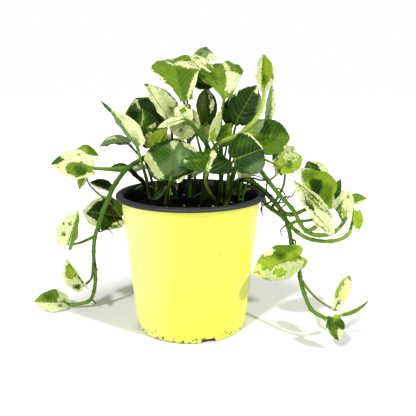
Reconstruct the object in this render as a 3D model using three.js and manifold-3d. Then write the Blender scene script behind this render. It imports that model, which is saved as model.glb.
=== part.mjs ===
// A potted pothos: a two-layer nursery pot, its soil, the vines and stems, and every leaf as a
// solid of its own, blade and petiole grown in one piece.
// Millimetres, +Z up. The origin is the centre of the pot's base, and -Y is the front.

import * as THREE from "three";
import { mergeVertices } from "three/addons/utils/BufferGeometryUtils.js";
import Module from "manifold-3d";

const wasm = await Module();
wasm.setup();

// Pot
const potHeight = 141;
const rimRadius = 76;
const rimDepth = 3.8;
const wallTopRadius = 71.2;
const baseRadius = 57;
const skinThickness = 0.9;
const shoulderBelowRim = 6;
const baseBand = 6;
const bandStep = 0.5;
const cornerRound = 1.6;
const rimFlange = 1.1;
const rimLip = 1.2;
const notchCount = 4;
const notchHeight = 4.5;
const notchWideWidth = 19;
const notchTopWidth = 13;
const notchTurn = 17;
const notchReach = 8;
const potSides = 32;

// Soil
const soilHeight = 127.5;
const soilMound = 3.5;
const soilFootInset = 8;
const soilEdgeBand = 9;

// Plant
const clearance = 0.3;
const bladeThickness = 0.8;
const petioleRadius = 1.3;
const petioleInBlade = 0.08;
const stemSides = 6;
const petioleSides = 5;
const bladeColumns = 4;
const bladeRows = 4;
const bladeTipEnd = 0.97;
const lobeLength = 0.12;
const shoulderWidth = 0.7;
const widestAt = 0.38;
const fullness = 2.8;
const fullWidth = 0.94;
const surfaceStep = 0.01;

const colors = {
  yellow: 0xf4f45a,
  black: 0x2c3033,
  soil: 0x1f1a16,
  stem: 0x4f7a33,
  youngStem: 0x9dbf57,
  dark: 0x2f5d24,
  mid: 0x6d8f3a,
  lime: 0x93b32f,
  cream: 0xdfe6b8,
};

const degrees = Math.PI / 180;
const vector = (p) => new THREE.Vector3(p[0], p[1], p[2]);

// Solids for cutting and joining

function toSolid(geometry) {
  const bare = geometry.clone();
  bare.deleteAttribute("normal");
  bare.deleteAttribute("uv");
  const merged = mergeVertices(bare, 1e-4);
  const corners = Array.from(merged.index.array);
  const kept = [];
  for (let i = 0; i < corners.length; i += 3) {
    const [a, b, c] = corners.slice(i, i + 3);
    if (a !== b && b !== c && c !== a) {
      kept.push(a, b, c);
    }
  }
  return new wasm.Manifold(new wasm.Mesh({
    numProp: 3,
    vertProperties: new Float32Array(merged.attributes.position.array),
    triVerts: new Uint32Array(kept),
  }));
}

function toGeometry(solid) {
  const mesh = solid.getMesh();
  const geometry = new THREE.BufferGeometry();
  geometry.setAttribute("position", new THREE.BufferAttribute(new Float32Array(mesh.vertProperties), 3));
  geometry.setIndex(new THREE.BufferAttribute(new Uint32Array(mesh.triVerts), 1));
  geometry.computeVertexNormals();
  return geometry;
}

// What is left of a leaf once its cuts and joins are made, without slivers or closed-in hollows

function largestPiece(solid) {
  const pieces = solid.decompose();
  return pieces.reduce((best, piece) => (piece.volume() > best.volume() ? piece : best));
}

const plant = new THREE.Group();

function addPiece(name, solid, color, roughness = 0.6) {
  const material = new THREE.MeshStandardMaterial({ color, roughness, metalness: 0 });
  const piece = new THREE.Mesh(toGeometry(solid), material);
  piece.name = name;
  plant.add(piece);
}

// A revolved body: the outline runs in radius and height, and the lathe turns it about Z

function revolve(outline, sides) {
  const points = outline.map(([radius, height]) => new THREE.Vector2(radius, height));
  const geometry = new THREE.LatheGeometry(points, sides);
  geometry.rotateX(Math.PI / 2);
  return toSolid(geometry);
}

// A round stem along a route. Its ends and its skin move out by `grow`, which cuts its clearance

function route(points) {
  return new THREE.CatmullRomCurve3(points.map(vector), false, "catmullrom", 0.5);
}

function tube(points, radius, sides, steps, grow = 0) {
  const first = vector(points[0]);
  const last = vector(points[points.length - 1]);
  const start = first.clone().sub(vector(points[1])).setLength(grow).add(first);
  const end = last.clone().sub(vector(points[points.length - 2])).setLength(grow).add(last);
  const path = [start.toArray(), ...points.slice(1, -1), end.toArray()];
  const section = new THREE.Shape();
  for (let i = 0; i < sides; i += 1) {
    const turn = (i / sides) * 2 * Math.PI;
    const corner = [(radius + grow) * Math.cos(turn), (radius + grow) * Math.sin(turn)];
    if (i === 0) {
      section.moveTo(...corner);
    } else {
      section.lineTo(...corner);
    }
  }
  const settings = { steps, extrudePath: route(path), bevelEnabled: false };
  const geometry = new THREE.ExtrudeGeometry(section, settings);
  return toSolid(geometry);
}

// A leaf blade. `base` is where the petiole meets it, `tip` its point, and `faces` the way its
// upper side looks. The midrib is an arc that turns by `arch` from base to tip. Each half leans up
// from the midrib by an angle at the base and one at the tip, then curls by a third up to its edge.
// `shoulder` is the width at the base as a share of the greatest, which is reached at `widest`, and
// `lobe` is how far the two lobes reach back past the petiole, both as shares of the length. The
// higher its `fullness`, the blunter the blade. A pair holds a value for each half, left and right.

function smoothstep(edge, value) {
  const t = Math.min(Math.max(value / edge, 0), 1);
  return t * t * (3 - 2 * t);
}

function ofSide(value, q) {
  return Array.isArray(value) ? value[q < 0 ? 0 : 1] : value;
}

function halfWidth(leaf, q, s) {
  const shoulder = ofSide(leaf.shoulder ?? shoulderWidth, q);
  const outline = shoulder + (1 - shoulder) * smoothstep(ofSide(leaf.widest ?? widestAt, q), s);
  return (leaf.width * outline * (1 - s ** (leaf.fullness ?? fullness))) / (2 * fullWidth);
}

function bladeSurface(leaf) {
  const base = vector(leaf.base);
  const chord = vector(leaf.tip).sub(base);
  const length = chord.length();
  const along = chord.clone().normalize();
  const facing = vector(leaf.faces);
  const up = facing.addScaledVector(along, -facing.dot(along)).normalize();
  const across = along.clone().cross(up);
  const arch = Math.max(Math.abs(leaf.arch), 0.5) * Math.sign(leaf.arch || 1) * degrees;
  const radius = length / (2 * Math.sin(arch / 2));
  const twist = (leaf.twist ?? 0) * degrees;
  return (q, s) => {
    const side = Math.abs(q);
    const half = q < 0 ? leaf.left : leaf.right;
    const w = halfWidth(leaf, q, s);
    const lean = (half[0] + (half[1] - half[0]) * s) * degrees;
    const curl = (Math.abs(half[2]) < 1 ? 1 : half[2]) * degrees;
    const out = (w * (Math.sin(lean + curl * side) - Math.sin(lean))) / curl;
    const rise = (w * (Math.cos(lean) - Math.cos(lean + curl * side))) / curl;
    const back = (leaf.lobe ?? lobeLength) * length * Math.sin(Math.PI * side) * (1 - s) ** 2;
    const turn = arch * (s - 0.5);
    const x = length / 2 + radius * Math.sin(turn) - back * Math.cos(turn);
    const z = radius * (Math.cos(turn) - Math.cos(arch / 2)) + back * Math.sin(turn);
    const roll = twist * s;
    const sideways = Math.sign(q) * out * Math.cos(roll) - rise * Math.sin(roll);
    const lift = rise * Math.cos(roll) + Math.sign(q) * out * Math.sin(roll);
    return base.clone()
      .addScaledVector(along, x + lift * Math.sin(turn))
      .addScaledVector(up, z + lift * Math.cos(turn))
      .addScaledVector(across, sideways);
  };
}

function blade(leaf) {
  const surface = bladeSurface(leaf);
  const geometry = new THREE.BoxGeometry(2, 1, 2, bladeColumns, leaf.rows ?? bladeRows, 1);
  const position = geometry.attributes.position;
  for (let i = 0; i < position.count; i += 1) {
    const q = position.getX(i);
    const s = (position.getY(i) + 0.5) * bladeTipEnd;
    const point = surface(q, s);
    const inward = q > 0 ? -surfaceStep : surfaceStep;
    const acrossEdge = surface(q + inward, s).sub(point).multiplyScalar(Math.sign(inward));
    const alongEdge = surface(q, s + surfaceStep).sub(point);
    const normal = acrossEdge.cross(alongEdge).normalize();
    point.addScaledVector(normal, (position.getZ(i) * bladeThickness) / 2);
    position.setXYZ(i, point.x, point.y, point.z);
  }
  return toSolid(geometry);
}

// Pot: a yellow outer skin, and a black inner skin whose top rolls over as the rim. The wall leans
// out from the base to the rim, with a small step at the base band and one under the rim

const rimBottom = potHeight - rimDepth;
const wallLean = (wallTopRadius - baseRadius) / potHeight;
const wallRadius = (height) => baseRadius + wallLean * height;
const shoulder = rimBottom - shoulderBelowRim;
const skinTop = rimBottom - 0.8;

const outerSkinOutline = [
  [0, 0],
  [baseRadius - cornerRound, 0],
  [baseRadius, cornerRound],
  [wallRadius(baseBand) - bandStep, baseBand - bandStep],
  [wallRadius(baseBand), baseBand + bandStep],
  [wallRadius(shoulder) - bandStep, shoulder],
  [wallRadius(shoulder), shoulder + 2 * bandStep],
  [wallRadius(skinTop), skinTop],
  [wallRadius(skinTop) - skinThickness, skinTop],
  [wallRadius(baseBand) - bandStep - skinThickness, baseBand],
  [baseRadius - skinThickness, cornerRound + clearance],
  [baseRadius - cornerRound - 2 * clearance, skinThickness],
  [0, skinThickness],
];

const linerOffset = skinThickness + clearance + bandStep;
const linerRadius = (height) => wallRadius(height) - linerOffset;
const linerFloor = skinThickness + clearance;
const linerCorner = baseRadius - linerOffset;
const rimInner = linerRadius(potHeight) - skinThickness;
const rimTop = potHeight - rimFlange;

const innerSkinOutline = [
  [0, linerFloor],
  [linerCorner - skinThickness, linerFloor],
  [linerCorner, linerFloor + rimLip],
  [linerRadius(baseBand), baseBand],
  [linerRadius(rimBottom), rimBottom],
  [linerRadius(potHeight) + skinThickness, rimTop],
  [rimRadius - rimLip, rimTop],
  [rimRadius - rimLip, rimBottom + bandStep],
  [rimRadius - rimLip / 2, rimBottom],
  [rimRadius, rimBottom + bandStep],
  [rimRadius, potHeight - rimLip],
  [rimRadius - rimLip, potHeight],
  [rimInner + rimLip, potHeight],
  [rimInner, potHeight - rimLip],
  [linerRadius(rimBottom) - skinThickness, rimBottom],
  [linerRadius(baseBand) - skinThickness, baseBand],
  [linerCorner - 2 * skinThickness, linerFloor + skinThickness],
  [0, linerFloor + skinThickness],
];

// A drain notch: a wedge through the corner between the wall and the base

function notch(turn) {
  const shape = new THREE.Shape();
  shape.moveTo(-notchWideWidth / 2, -cornerRound);
  shape.lineTo(notchWideWidth / 2, -cornerRound);
  shape.lineTo(notchTopWidth / 2, notchHeight);
  shape.lineTo(-notchTopWidth / 2, notchHeight);
  const geometry = new THREE.ExtrudeGeometry(shape, { depth: 2 * notchReach, bevelEnabled: false });
  geometry.rotateX(Math.PI / 2);
  geometry.translate(0, notchReach - baseRadius, 0);
  geometry.rotateZ(turn * degrees);
  return toSolid(geometry);
}

let outerSkin = revolve(outerSkinOutline, potSides);
let innerSkin = revolve(innerSkinOutline, potSides);
for (let i = 0; i < notchCount; i += 1) {
  const cut = notch(notchTurn + (360 / notchCount) * i);
  outerSkin = outerSkin.subtract(cut);
  innerSkin = innerSkin.subtract(cut);
}
addPiece("pot_outer_skin", outerSkin, colors.yellow, 0.45);
addPiece("pot_inner_skin", innerSkin, colors.black, 0.55);

// Stems, each with its radius and its route, which starts in the soil. Forks grow out of it.

const stems = [
  {
    name: "stem_left_vine", radius: 2, steps: 40, color: colors.stem,
    points: [
      [-14, 10, 106], [-15, 9, 131], [-24, 4, 160], [-41, -2, 177], [-50, -6, 175], [-62, -9, 168],
      [-70, -9, 159], [-78, -8, 147], [-84, -5, 134], [-90, 0, 121], [-96, 6, 105], [-101, 11, 92],
      [-104, 16, 75], [-105, 21, 60], [-105, 26, 43], [-108, 32, 24], [-114, 36, 10], [-126, 38, 5],
      [-139, 38, 4],
    ],
    forks: [{
      radius: 2, steps: 8,
      points: [[-62, -9, 168], [-56, 8, 157], [-50, 26, 146], [-47, 41, 129], [-45, 41, 108]],
    }],
  },
  {
    name: "stem_right_vine", radius: 2, steps: 32, color: colors.stem,
    points: [
      [36, 8, 106], [38, 7, 131], [46, 3, 150], [54, -2, 154], [63, -7, 151], [72, -12, 145.5],
      [80, -15, 138], [86, -16, 131], [94, -18, 119], [99, -18, 105], [102, -18, 91], [109, -20, 72],
      [111, -26, 54], [114, -36, 42], [119, -48, 31], [130, -56, 26], [136, -61, 24],
    ],
    forks: [{
      radius: 1.9, steps: 8,
      points: [[86, -16, 131], [93, -17, 123], [102, -18, 121], [110, -18, 124], [119, -20, 129]],
    }],
  },
  {
    name: "stem_right_dark", radius: 2, steps: 18, color: colors.stem,
    points: [
      [34, -16, 106], [35, -17, 131], [44, -18, 168], [54, -18, 176], [66, -22, 169], [75, -26, 158],
      [87, -28, 143], [100, -29, 129], [106, -30, 118], [113, -31, 108], [119, -31, 109], [127, -30, 114],
    ],
    forks: [{
      radius: 1.9, steps: 12,
      points: [
        [113, -31, 108], [122, -27, 102.5], [134, -24, 101], [143, -22, 103], [150, -20, 108],
        [158, -16, 119],
      ],
    }],
  },
  {
    name: "stem_right_loop", radius: 2, steps: 26, color: colors.stem,
    points: [
      [44, 34, 106], [46, 36, 131], [54, 42, 147], [63, 46, 147], [71, 40, 140], [77, 28, 130],
      [79, 17, 124], [84, 9, 121], [95, 0, 114], [107, -8, 102], [119, -14, 95], [137, -16, 92],
      [152, -16, 94], [161, -15, 100], [164, -12, 107],
    ],
  },
  {
    name: "stem_young", radius: 1.9, steps: 16, color: colors.youngStem,
    points: [
      [14, 12, 106], [14, 12, 131], [16, 10, 155], [20, 2, 178], [27, -12, 192], [41, -20, 199],
      [52, -24, 206], [61, -28, 216], [67, -30, 226], [69, -30, 236],
    ],
  },
  {
    name: "stem_arch", radius: 1.8, steps: 14, color: colors.stem,
    points: [
      [11, -6, 106], [11, -7, 131], [16, -8, 160], [19, -11, 184], [11, -18, 198], [2, -21, 211],
      [-5, -20, 217],
    ],
  },
  {
    name: "stem_centre", radius: 2.1, steps: 8, color: colors.stem,
    points: [[-2, 20, 106], [-2, 20, 131], [-1, 14, 165], [-2, 10, 200]],
  },
  {
    name: "stem_centre_right", radius: 2.1, steps: 8, color: colors.stem,
    points: [[30, 0, 106], [30, -1, 131], [31, -2, 165], [30, -4, 198]],
  },
  {
    name: "stem_back", radius: 2.1, steps: 8, color: colors.stem,
    points: [[14, 40, 106], [14, 40, 131], [17, 42, 170], [18, 44, 215]],
  },
];

// Leaves. `stalk` holds the petiole's points before the blade, and its first point lies in the
// stem that `from` names or, with no `from`, in the soil. An unfurling leaf is one with its stem.

const leaves = [
  {
    name: "leaf_crown_left", base: [-6, -13, 233], tip: [-20, 36, 273], width: 57, color: colors.mid,
    faces: [0, -0.7, 0.7], arch: 75, left: [25, 0, 10], right: [25, 5, 10],
    shoulder: [0.15, 0.32], widest: 0.55, lobe: 0, rows: 7,
    from: "stem_centre", stalk: [[-2, 10.5, 196], [-3, 8, 216], [-5, -4, 228]],
  },
  {
    name: "leaf_crown_right", base: [33, -8, 235], tip: [24, 44, 268], width: 48, color: colors.mid,
    faces: [0.05, -0.7, 0.7], arch: 65, left: [10, 0, 10], right: [20, 5, 10],
    shoulder: [0.1, 0.35], widest: [0.45, 0.4], lobe: 0, rows: 7,
    from: "stem_centre_right", stalk: [[30, -3.8, 194], [30, -8, 217]],
  },
  {
    name: "leaf_crown_top", base: [17, 34, 284], tip: [12, 8, 272], width: 32, color: colors.cream,
    faces: [0, -0.6, 0.8], arch: 80, left: [-25, -25, -30], right: [-25, -25, -30],
    fullness: 4, rows: 6,
    from: "stem_back", stalk: [[18, 44, 210], [20, 54, 250]],
  },
  {
    name: "leaf_upper_left", base: [-20, -3, 211], tip: [-44, -8, 250], width: 34, color: colors.cream,
    faces: [0.2, -0.9, 0.3], arch: 25, left: [60, 50, 10], right: [10, 20, 20], shoulder: 0.5, lobe: 0,
    stalk: [[-20, 20, 106], [-20, 20, 135], [-17, 14, 175], [-18, 4, 195]],
  },
  {
    name: "leaf_left_dark", base: [-35, 20, 200], tip: [-57, 28, 234], width: 56, color: colors.dark,
    faces: [0, -0.9, 0.4], arch: 15, left: [0, 0, 10], right: [56, 56, 10], shoulder: 0.8, fullness: 3.6,
    rows: 6,
    stalk: [[-26, 26, 106], [-26, 26, 135], [-28, 20, 180]],
  },
  {
    name: "leaf_left_mottled", base: [-39, 4, 191], tip: [-48, 6, 225], width: 30, color: colors.cream,
    faces: [0, -0.9, 0.5], arch: 20, left: [20, 20, 10], right: [20, 20, 10],
    stalk: [[-34, 18, 106], [-34, 18, 135], [-31, 12, 180]],
  },
  {
    name: "leaf_left_long", base: [-52, -14, 190], tip: [-79, -3, 225], width: 27, color: colors.cream,
    faces: [0.3, -0.9, 0.3], arch: 10, left: [60, 50, 10], right: [10, 10, 10], lobe: 0.05,
    stalk: [[-42, 24, 106], [-43, 22, 130], [-45, 6, 152], [-47, -10, 168], [-50, -15, 181]],
  },
  {
    name: "leaf_left_small", base: [-63, 8, 190], tip: [-92, 4, 187], width: 26, color: colors.dark,
    faces: [0, -0.3, 0.95], arch: 40, left: [10, 10, 10], right: [10, 10, 10],
    stalk: [[-38, 32, 106], [-39, 31, 135], [-46, 16, 168], [-53, 10, 178]],
  },
  {
    name: "leaf_far_left", base: [-99, -8, 168], tip: [-137, -16, 173], width: 32, color: colors.cream,
    faces: [0, -0.8, 0.6], arch: 25, fullness: 3.4, left: [5, 5, 10], right: [5, 5, 10],
    from: "stem_left_vine", stalk: [[-62, -9, 168], [-80, -8, 167]],
  },
  {
    name: "leaf_far_left_rear", base: [-117, 10, 176], tip: [-93, 10, 177], width: 26, color: colors.cream,
    faces: [0, -0.5, 0.85], arch: 50, left: [10, 10, 10], right: [10, 10, 30],
    from: "stem_left_vine",
    stalk: [[-66, -9, 164.5], [-84, -2, 165], [-106, 8, 165], [-121, 11, 167], [-123, 10, 174]],
  },
  {
    name: "leaf_left_hanging", base: [-105, -2, 163], tip: [-112, -5, 145], width: 12, color: colors.lime,
    faces: [-0.2, -1, 0.2], arch: 12, left: [25, 25, 10], right: [25, 25, 10],
    from: "stem_left_vine", stalk: [[-83.5, -5.5, 136], [-92, -2, 139], [-103, 2, 149], [-105.5, 2, 159]],
  },
  {
    name: "leaf_left_edge", base: [-84, 8, 143], tip: [-105, 15, 149], width: 19, color: colors.dark,
    faces: [0, -0.35, 1], arch: 25, left: [10, 10, 10], right: [10, 10, 10],
    from: "stem_left_vine", stalk: [[-78, -8, 147], [-80, 1, 147]],
  },
  {
    name: "leaf_left_behind", base: [-76, 34, 107], tip: [-118, 34, 114], width: 38, color: colors.dark,
    faces: [0, -0.9, 0.4], arch: 20, fullness: 3.4, left: [10, 10, 10], right: [10, 10, 10],
    from: "stem_left_vine", stalk: [[-87, -2, 127], [-84, 12, 128]],
  },
  {
    name: "leaf_left_lower", base: [-129, 8, 84], tip: [-118, 14, 120], width: 31, color: colors.cream,
    faces: [0, -1, 0], arch: 15, left: [5, 5, 10], right: [52, 52, 10],
    from: "stem_left_vine", stalk: [[-101, 11, 92], [-117, 10, 85]],
  },
  {
    name: "leaf_left_lower_small", base: [-117, 20, 34], tip: [-134, 18, 66], width: 31, color: colors.lime,
    faces: [0, -1, 0.2], arch: 15, left: [5, 5, 15], right: [60, 60, 15],
    from: "stem_left_vine", stalk: [[-105, 20, 63], [-109, 23, 41]],
  },
  {
    name: "leaf_left_bottom", base: [-143, 38, 7], tip: [-177, 34, 10], width: 30, color: colors.lime,
    faces: [0, -0.65, 0.75], arch: 20, left: [10, 10, 10], right: [0, 0, 10],
    from: "stem_left_vine", stalk: [[-136, 38, 4], [-139.5, 38, 5]],
  },
  {
    name: "leaf_front_left", base: [-19, -40, 162], tip: [-12, -6, 197], width: 55, color: colors.dark,
    faces: [0, -1, 0.7], arch: 15, left: [5, 5, 10], right: [5, 5, 10],
    shoulder: [0.7, 0.45], lobe: 0.08, fullness: 3.4, rows: 6,
    stalk: [[-24, -6, 106], [-25, -8, 128], [-23, -22, 143]],
  },
  {
    name: "leaf_front_centre", base: [15, -50, 170], tip: [23, -20, 187], width: 56, color: colors.mid,
    faces: [0, -0.5, 0.8], arch: 40, left: [10, 10, 10], right: [10, 10, 10],
    shoulder: 0.85, widest: 0.12, lobe: 0.05, fullness: 1, rows: 6,
    stalk: [[26, -10, 106], [26, -14, 129], [20, -32, 144], [14, -44, 159]],
  },
  {
    name: "leaf_front_right", base: [41, -50, 182], tip: [69, -35, 190], width: 40, color: colors.dark,
    faces: [0, -1, 0.3], arch: 15, fullness: 4.5, left: [5, 5, 10], right: [5, 5, 10],
    from: "stem_right_dark", stalk: [[36, -17, 140], [37, -34, 170]],
  },
  {
    name: "leaf_front_right_under", base: [58, -28, 176], tip: [45, -38, 163], width: 22, color: colors.cream,
    faces: [0, -1, 0.3], arch: 15, left: [5, 5, 10], right: [5, 5, 10],
    from: "stem_right_dark", stalk: [[54, -18, 176], [58, -23, 178]],
  },
  {
    name: "leaf_right_green", base: [63, -2, 194], tip: [101, 4, 196], width: 37, color: colors.mid,
    faces: [0, -0.9, 0.4], arch: 20, left: [10, 10, 10], right: [10, 10, 10],
    fullness: 4.5, rows: 5,
    stalk: [[50, 10, 106], [50, 10, 135], [54, 6, 175]],
  },
  {
    name: "leaf_right_dark", base: [47, -4, 216], tip: [66, 2, 248], width: 34, color: colors.dark,
    faces: [0, -0.9, 0.3], arch: 20, left: [10, 10, 10], right: [10, 10, 10],
    stalk: [[38, 20, 106], [38, 20, 135], [42, 4, 190]],
  },
  {
    name: "leaf_right_dark_low", base: [43, 6, 210], tip: [40, 10, 237], width: 22, color: colors.dark,
    faces: [-0.3, -0.9, 0.3], arch: 20, left: [10, 10, 10], right: [10, 10, 10],
    stalk: [[30, 24, 106], [30, 24, 135], [38, 14, 190]],
  },
  {
    name: "leaf_young", base: [69, -30, 239], tip: [68, -28, 277], width: 27, color: colors.lime,
    faces: [0, -1, 0.1], arch: 8, left: [35, 35, 40], right: [35, 35, 40], shoulder: 0.25, lobe: 0,
    widest: 0.45, fullness: 5,
    from: "stem_young", unfurling: true, stalk: [[68.5, -30, 232], [69, -30, 236]],
  },
  {
    name: "leaf_right_back", base: [78, 8, 214], tip: [82, 12, 249], width: 12, color: colors.cream,
    faces: [0.3, -0.9, 0.2], arch: 15, left: [20, 20, 10], right: [20, 20, 10],
    stalk: [[52, 22, 106], [52, 22, 135], [66, 22, 180], [75, 14, 203]],
  },
  {
    name: "leaf_right_sheath", base: [54, -12, 203], tip: [73, -12, 216], width: 16, color: colors.dark,
    faces: [0, -0.9, -0.3], arch: 15, left: [10, 10, 10], right: [10, 10, 10],
    from: "stem_young", stalk: [[44, -21, 201], [49, -15, 201]],
  },
  {
    name: "leaf_centre_cream", base: [-9, -16, 216], tip: [0, -17, 231], width: 20, color: colors.cream,
    faces: [0, -1, 0.2], arch: 15, left: [10, 10, 10], right: [10, 10, 10],
    from: "stem_arch", stalk: [[1, -21, 212], [-5, -17.5, 212.5]],
  },
  {
    name: "leaf_centre_hanging", base: [-5, -12.5, 223], tip: [-8, -12.5, 194], width: 33, color: colors.cream,
    faces: [0, -1, 0.1], arch: 10, left: [10, 10, 10], right: [10, 10, 10],
    from: "stem_centre", stalk: [[-2, 10.8, 192], [-6, 3, 208], [-7, -6, 219]],
  },
  {
    name: "leaf_centre_dark", base: [17, 12, 211], tip: [16, 18, 244], width: 22, color: colors.dark,
    faces: [0, -0.95, 0.2], arch: 15, fullness: 5, left: [20, 20, 10], right: [20, 20, 10],
    from: "stem_centre", stalk: [[-2, 11, 190], [8, 10, 202]],
  },
  {
    name: "leaf_centre_sheath", base: [21, -20, 197], tip: [30, -19, 226], width: 11, color: colors.cream,
    faces: [-0.3, -1, 0.1], arch: 10, left: [20, 20, 10], right: [20, 20, 10],
    from: "stem_young", stalk: [[25.5, -10, 190], [22, -18, 193]],
  },
  {
    name: "leaf_inner_green", base: [-38, -2, 187], tip: [-22, -4, 207], width: 18, color: colors.lime,
    faces: [-0.1, -0.9, 0.3], arch: 15, left: [20, 20, 10], right: [20, 20, 10],
    from: "stem_left_vine", stalk: [[-28, 3, 166], [-33, 0, 178]],
  },
  {
    name: "leaf_right_pair", base: [90, -14, 168], tip: [111.5, -10, 179], width: 23, color: colors.lime,
    faces: [0, -0.9, 0.4], arch: 20, fullness: 3.4, left: [10, 10, 10], right: [10, 10, 10],
    from: "stem_right_dark", stalk: [[49, -18, 173], [60, -4, 176], [71, -6, 176], [82, -11, 172]],
  },
  {
    name: "leaf_right_strip", base: [88, -6, 162], tip: [84, 0, 190], width: 14, color: colors.cream,
    faces: [0.5, -0.9, 0.2], arch: 15, left: [10, 10, 10], right: [10, 10, 10],
    stalk: [[54, 8, 106], [54, 8, 135], [62, 6, 153], [71, 0, 153], [81, -6, 155]],
  },
  {
    name: "leaf_right_pair_back", base: [94, 8, 168], tip: [108, 16, 186], width: 24, color: colors.cream,
    faces: [0, -0.9, 0.4], arch: 20, left: [10, 10, 10], right: [10, 10, 10],
    from: "stem_right_loop", stalk: [[84, 9, 121], [91, 8, 134], [96, 7, 146], [97, 7, 158]],
  },
  {
    name: "leaf_right_cup", base: [131, -24, 125], tip: [107, -22, 169], width: 54, color: colors.lime,
    faces: [0.1, -0.95, 0.2], arch: 25, left: [25, 25, 70], right: [5, 10, 50],
    shoulder: 0.35, widest: 0.55, lobe: 0, fullness: 3.6, rows: 6,
    from: "stem_right_vine", stalk: [[98.5, -18, 109], [104, -22, 114.5], [114, -24, 116], [124, -24, 118]],
  },
  {
    name: "leaf_right_cup_back", base: [131, -6, 150], tip: [119, 2, 172], width: 27, color: colors.dark,
    faces: [0.1, -0.95, 0.2], arch: 20, fullness: 4, left: [10, 10, 10], right: [10, 10, 10],
    from: "stem_right_vine", stalk: [[117, -19.5, 128], [124, -10, 134]],
  },
  {
    name: "leaf_right_cream", base: [148, -14, 126], tip: [163, -2, 142], width: 24, color: colors.cream,
    faces: [0, -0.9, 0.4], arch: 20, left: [10, 10, 10], right: [10, 10, 10],
    from: "stem_right_dark", stalk: [[154, -18.4, 113], [151, -16, 119]],
  },
  {
    name: "leaf_right_tip", base: [164, -5, 131], tip: [181, -3, 134], width: 16, color: colors.mid,
    faces: [0, -0.6, 0.8], arch: 20, left: [10, 10, 10], right: [10, 10, 10],
    from: "stem_right_loop", stalk: [[163.4, -12.4, 105.6], [167, -6, 118]],
  },
  {
    name: "leaf_right_fold", base: [154, -26, 121], tip: [154, -26, 139], width: 13, color: colors.cream,
    faces: [0.2, -0.95, 0.2], arch: 15, left: [10, 10, 10], right: [10, 10, 10],
    from: "stem_right_dark", stalk: [[150, -20, 108], [153, -25, 114]],
  },
  {
    name: "leaf_right_hanging", base: [165, -25, 125], tip: [166.5, -26, 104], width: 12, color: colors.lime,
    faces: [0.2, -0.95, 0.2], arch: 12, left: [10, 10, 10], right: [10, 10, 10],
    from: "stem_right_loop", stalk: [[162.3, -13.6, 103], [164.5, -18.5, 115], [165, -22, 121.5]],
  },
  {
    name: "leaf_right_low_cream", base: [119, -44, 128], tip: [138, -50, 107], width: 17, color: colors.cream,
    faces: [0.1, -0.95, 0.4], arch: 20, left: [10, 10, 10], right: [10, 10, 10],
    from: "stem_right_dark", stalk: [[125.5, -30.3, 113], [123, -38, 121]],
  },
  {
    name: "leaf_pot_side", base: [109, -25, 79], tip: [62, -22, 60], width: 36, color: colors.lime,
    faces: [0, -0.85, 0.5], arch: 15, fullness: 3.6, left: [10, 10, 10], right: [10, 10, 10], rows: 6,
    from: "stem_right_vine", stalk: [[109.6, -21.5, 69], [111, -26, 75]],
  },
  {
    name: "leaf_right_narrow", base: [140, -56, 34], tip: [154, -51, 68], width: 15, color: colors.cream,
    faces: [0.25, -0.9, 0.3], arch: -12, left: [10, 10, 10], right: [10, 10, 10],
    shoulder: 0.6, widest: 0.6, lobe: 0, fullness: 7,
    from: "stem_right_vine", stalk: [[110.5, -25, 57], [117, -36, 48], [127, -48, 40]],
  },
  {
    name: "leaf_right_bottom", base: [135, -68, 31], tip: [140, -77, 11], width: 19, color: colors.dark,
    faces: [0, -0.95, 0.3], arch: 20, left: [10, 10, 10], right: [10, 10, 10],
    from: "stem_right_vine", stalk: [[134.5, -60, 24.3], [135, -64, 27.5]],
  },
  {
    name: "leaf_right_bottom_tip", base: [148, -62, 31], tip: [170, -62, 46], width: 5, color: colors.lime,
    faces: [-0.4, -0.5, 0.8], arch: -95, left: [50, 50, 30], right: [50, 50, 30],
    from: "stem_right_vine", unfurling: true, stalk: [[134, -60, 24.4], [140, -60, 29]],
  },
  {
    name: "leaf_back_left", base: [-28, 46, 190], tip: [-54, 70, 200], width: 40, color: colors.mid,
    faces: [-0.2, 0.6, 0.8], arch: 40, left: [10, 10, 10], right: [10, 10, 10],
    stalk: [[-20, 40, 106], [-20, 40, 135], [-22, 42, 165]],
  },
  {
    name: "leaf_back_centre", base: [6, 58, 196], tip: [2, 98, 206], width: 44, color: colors.dark,
    faces: [0, 0.3, 0.95], arch: 50, left: [10, 10, 10], right: [10, 10, 10],
    from: "stem_back", stalk: [[16, 41.5, 160], [10, 50, 180]],
  },
  {
    name: "leaf_back_right", base: [42, 46, 184], tip: [70, 70, 190], width: 42, color: colors.cream,
    faces: [0.2, 0.5, 0.85], arch: 45, left: [10, 10, 10], right: [10, 10, 10],
    from: "stem_back", stalk: [[17, 42, 170], [30, 42, 180]],
  },
  {
    name: "leaf_back_low", base: [8, 70, 158], tip: [2, 104, 136], width: 42, color: colors.lime,
    faces: [0, 0.7, 0.7], arch: 30, left: [10, 10, 10], right: [10, 10, 10],
    stalk: [[4, 50, 106], [4, 50, 135], [6, 60, 154]],
  },
  {
    name: "leaf_back_low_left", base: [-42, 58, 156], tip: [-66, 86, 146], width: 36, color: colors.cream,
    faces: [-0.3, 0.6, 0.8], arch: 30, left: [10, 10, 10], right: [10, 10, 10],
    stalk: [[-30, 44, 106], [-30, 44, 135], [-36, 52, 152]],
  },
];

const stemNamed = new Map(stems.map((stem) => [stem.name, stem]));

function stemSolid(stem, grow = 0) {
  let solid = tube(stem.points, stem.radius, stemSides, stem.steps, grow);
  for (const fork of stem.forks ?? []) {
    solid = solid.add(tube(fork.points, fork.radius, stemSides, fork.steps, grow));
  }
  return solid;
}

const solids = new Map();
const soilHoles = [];

for (const stem of stems) {
  solids.set(stem.name, { solid: stemSolid(stem), color: stem.color });
  soilHoles.push(stemSolid(stem, clearance));
}

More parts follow.
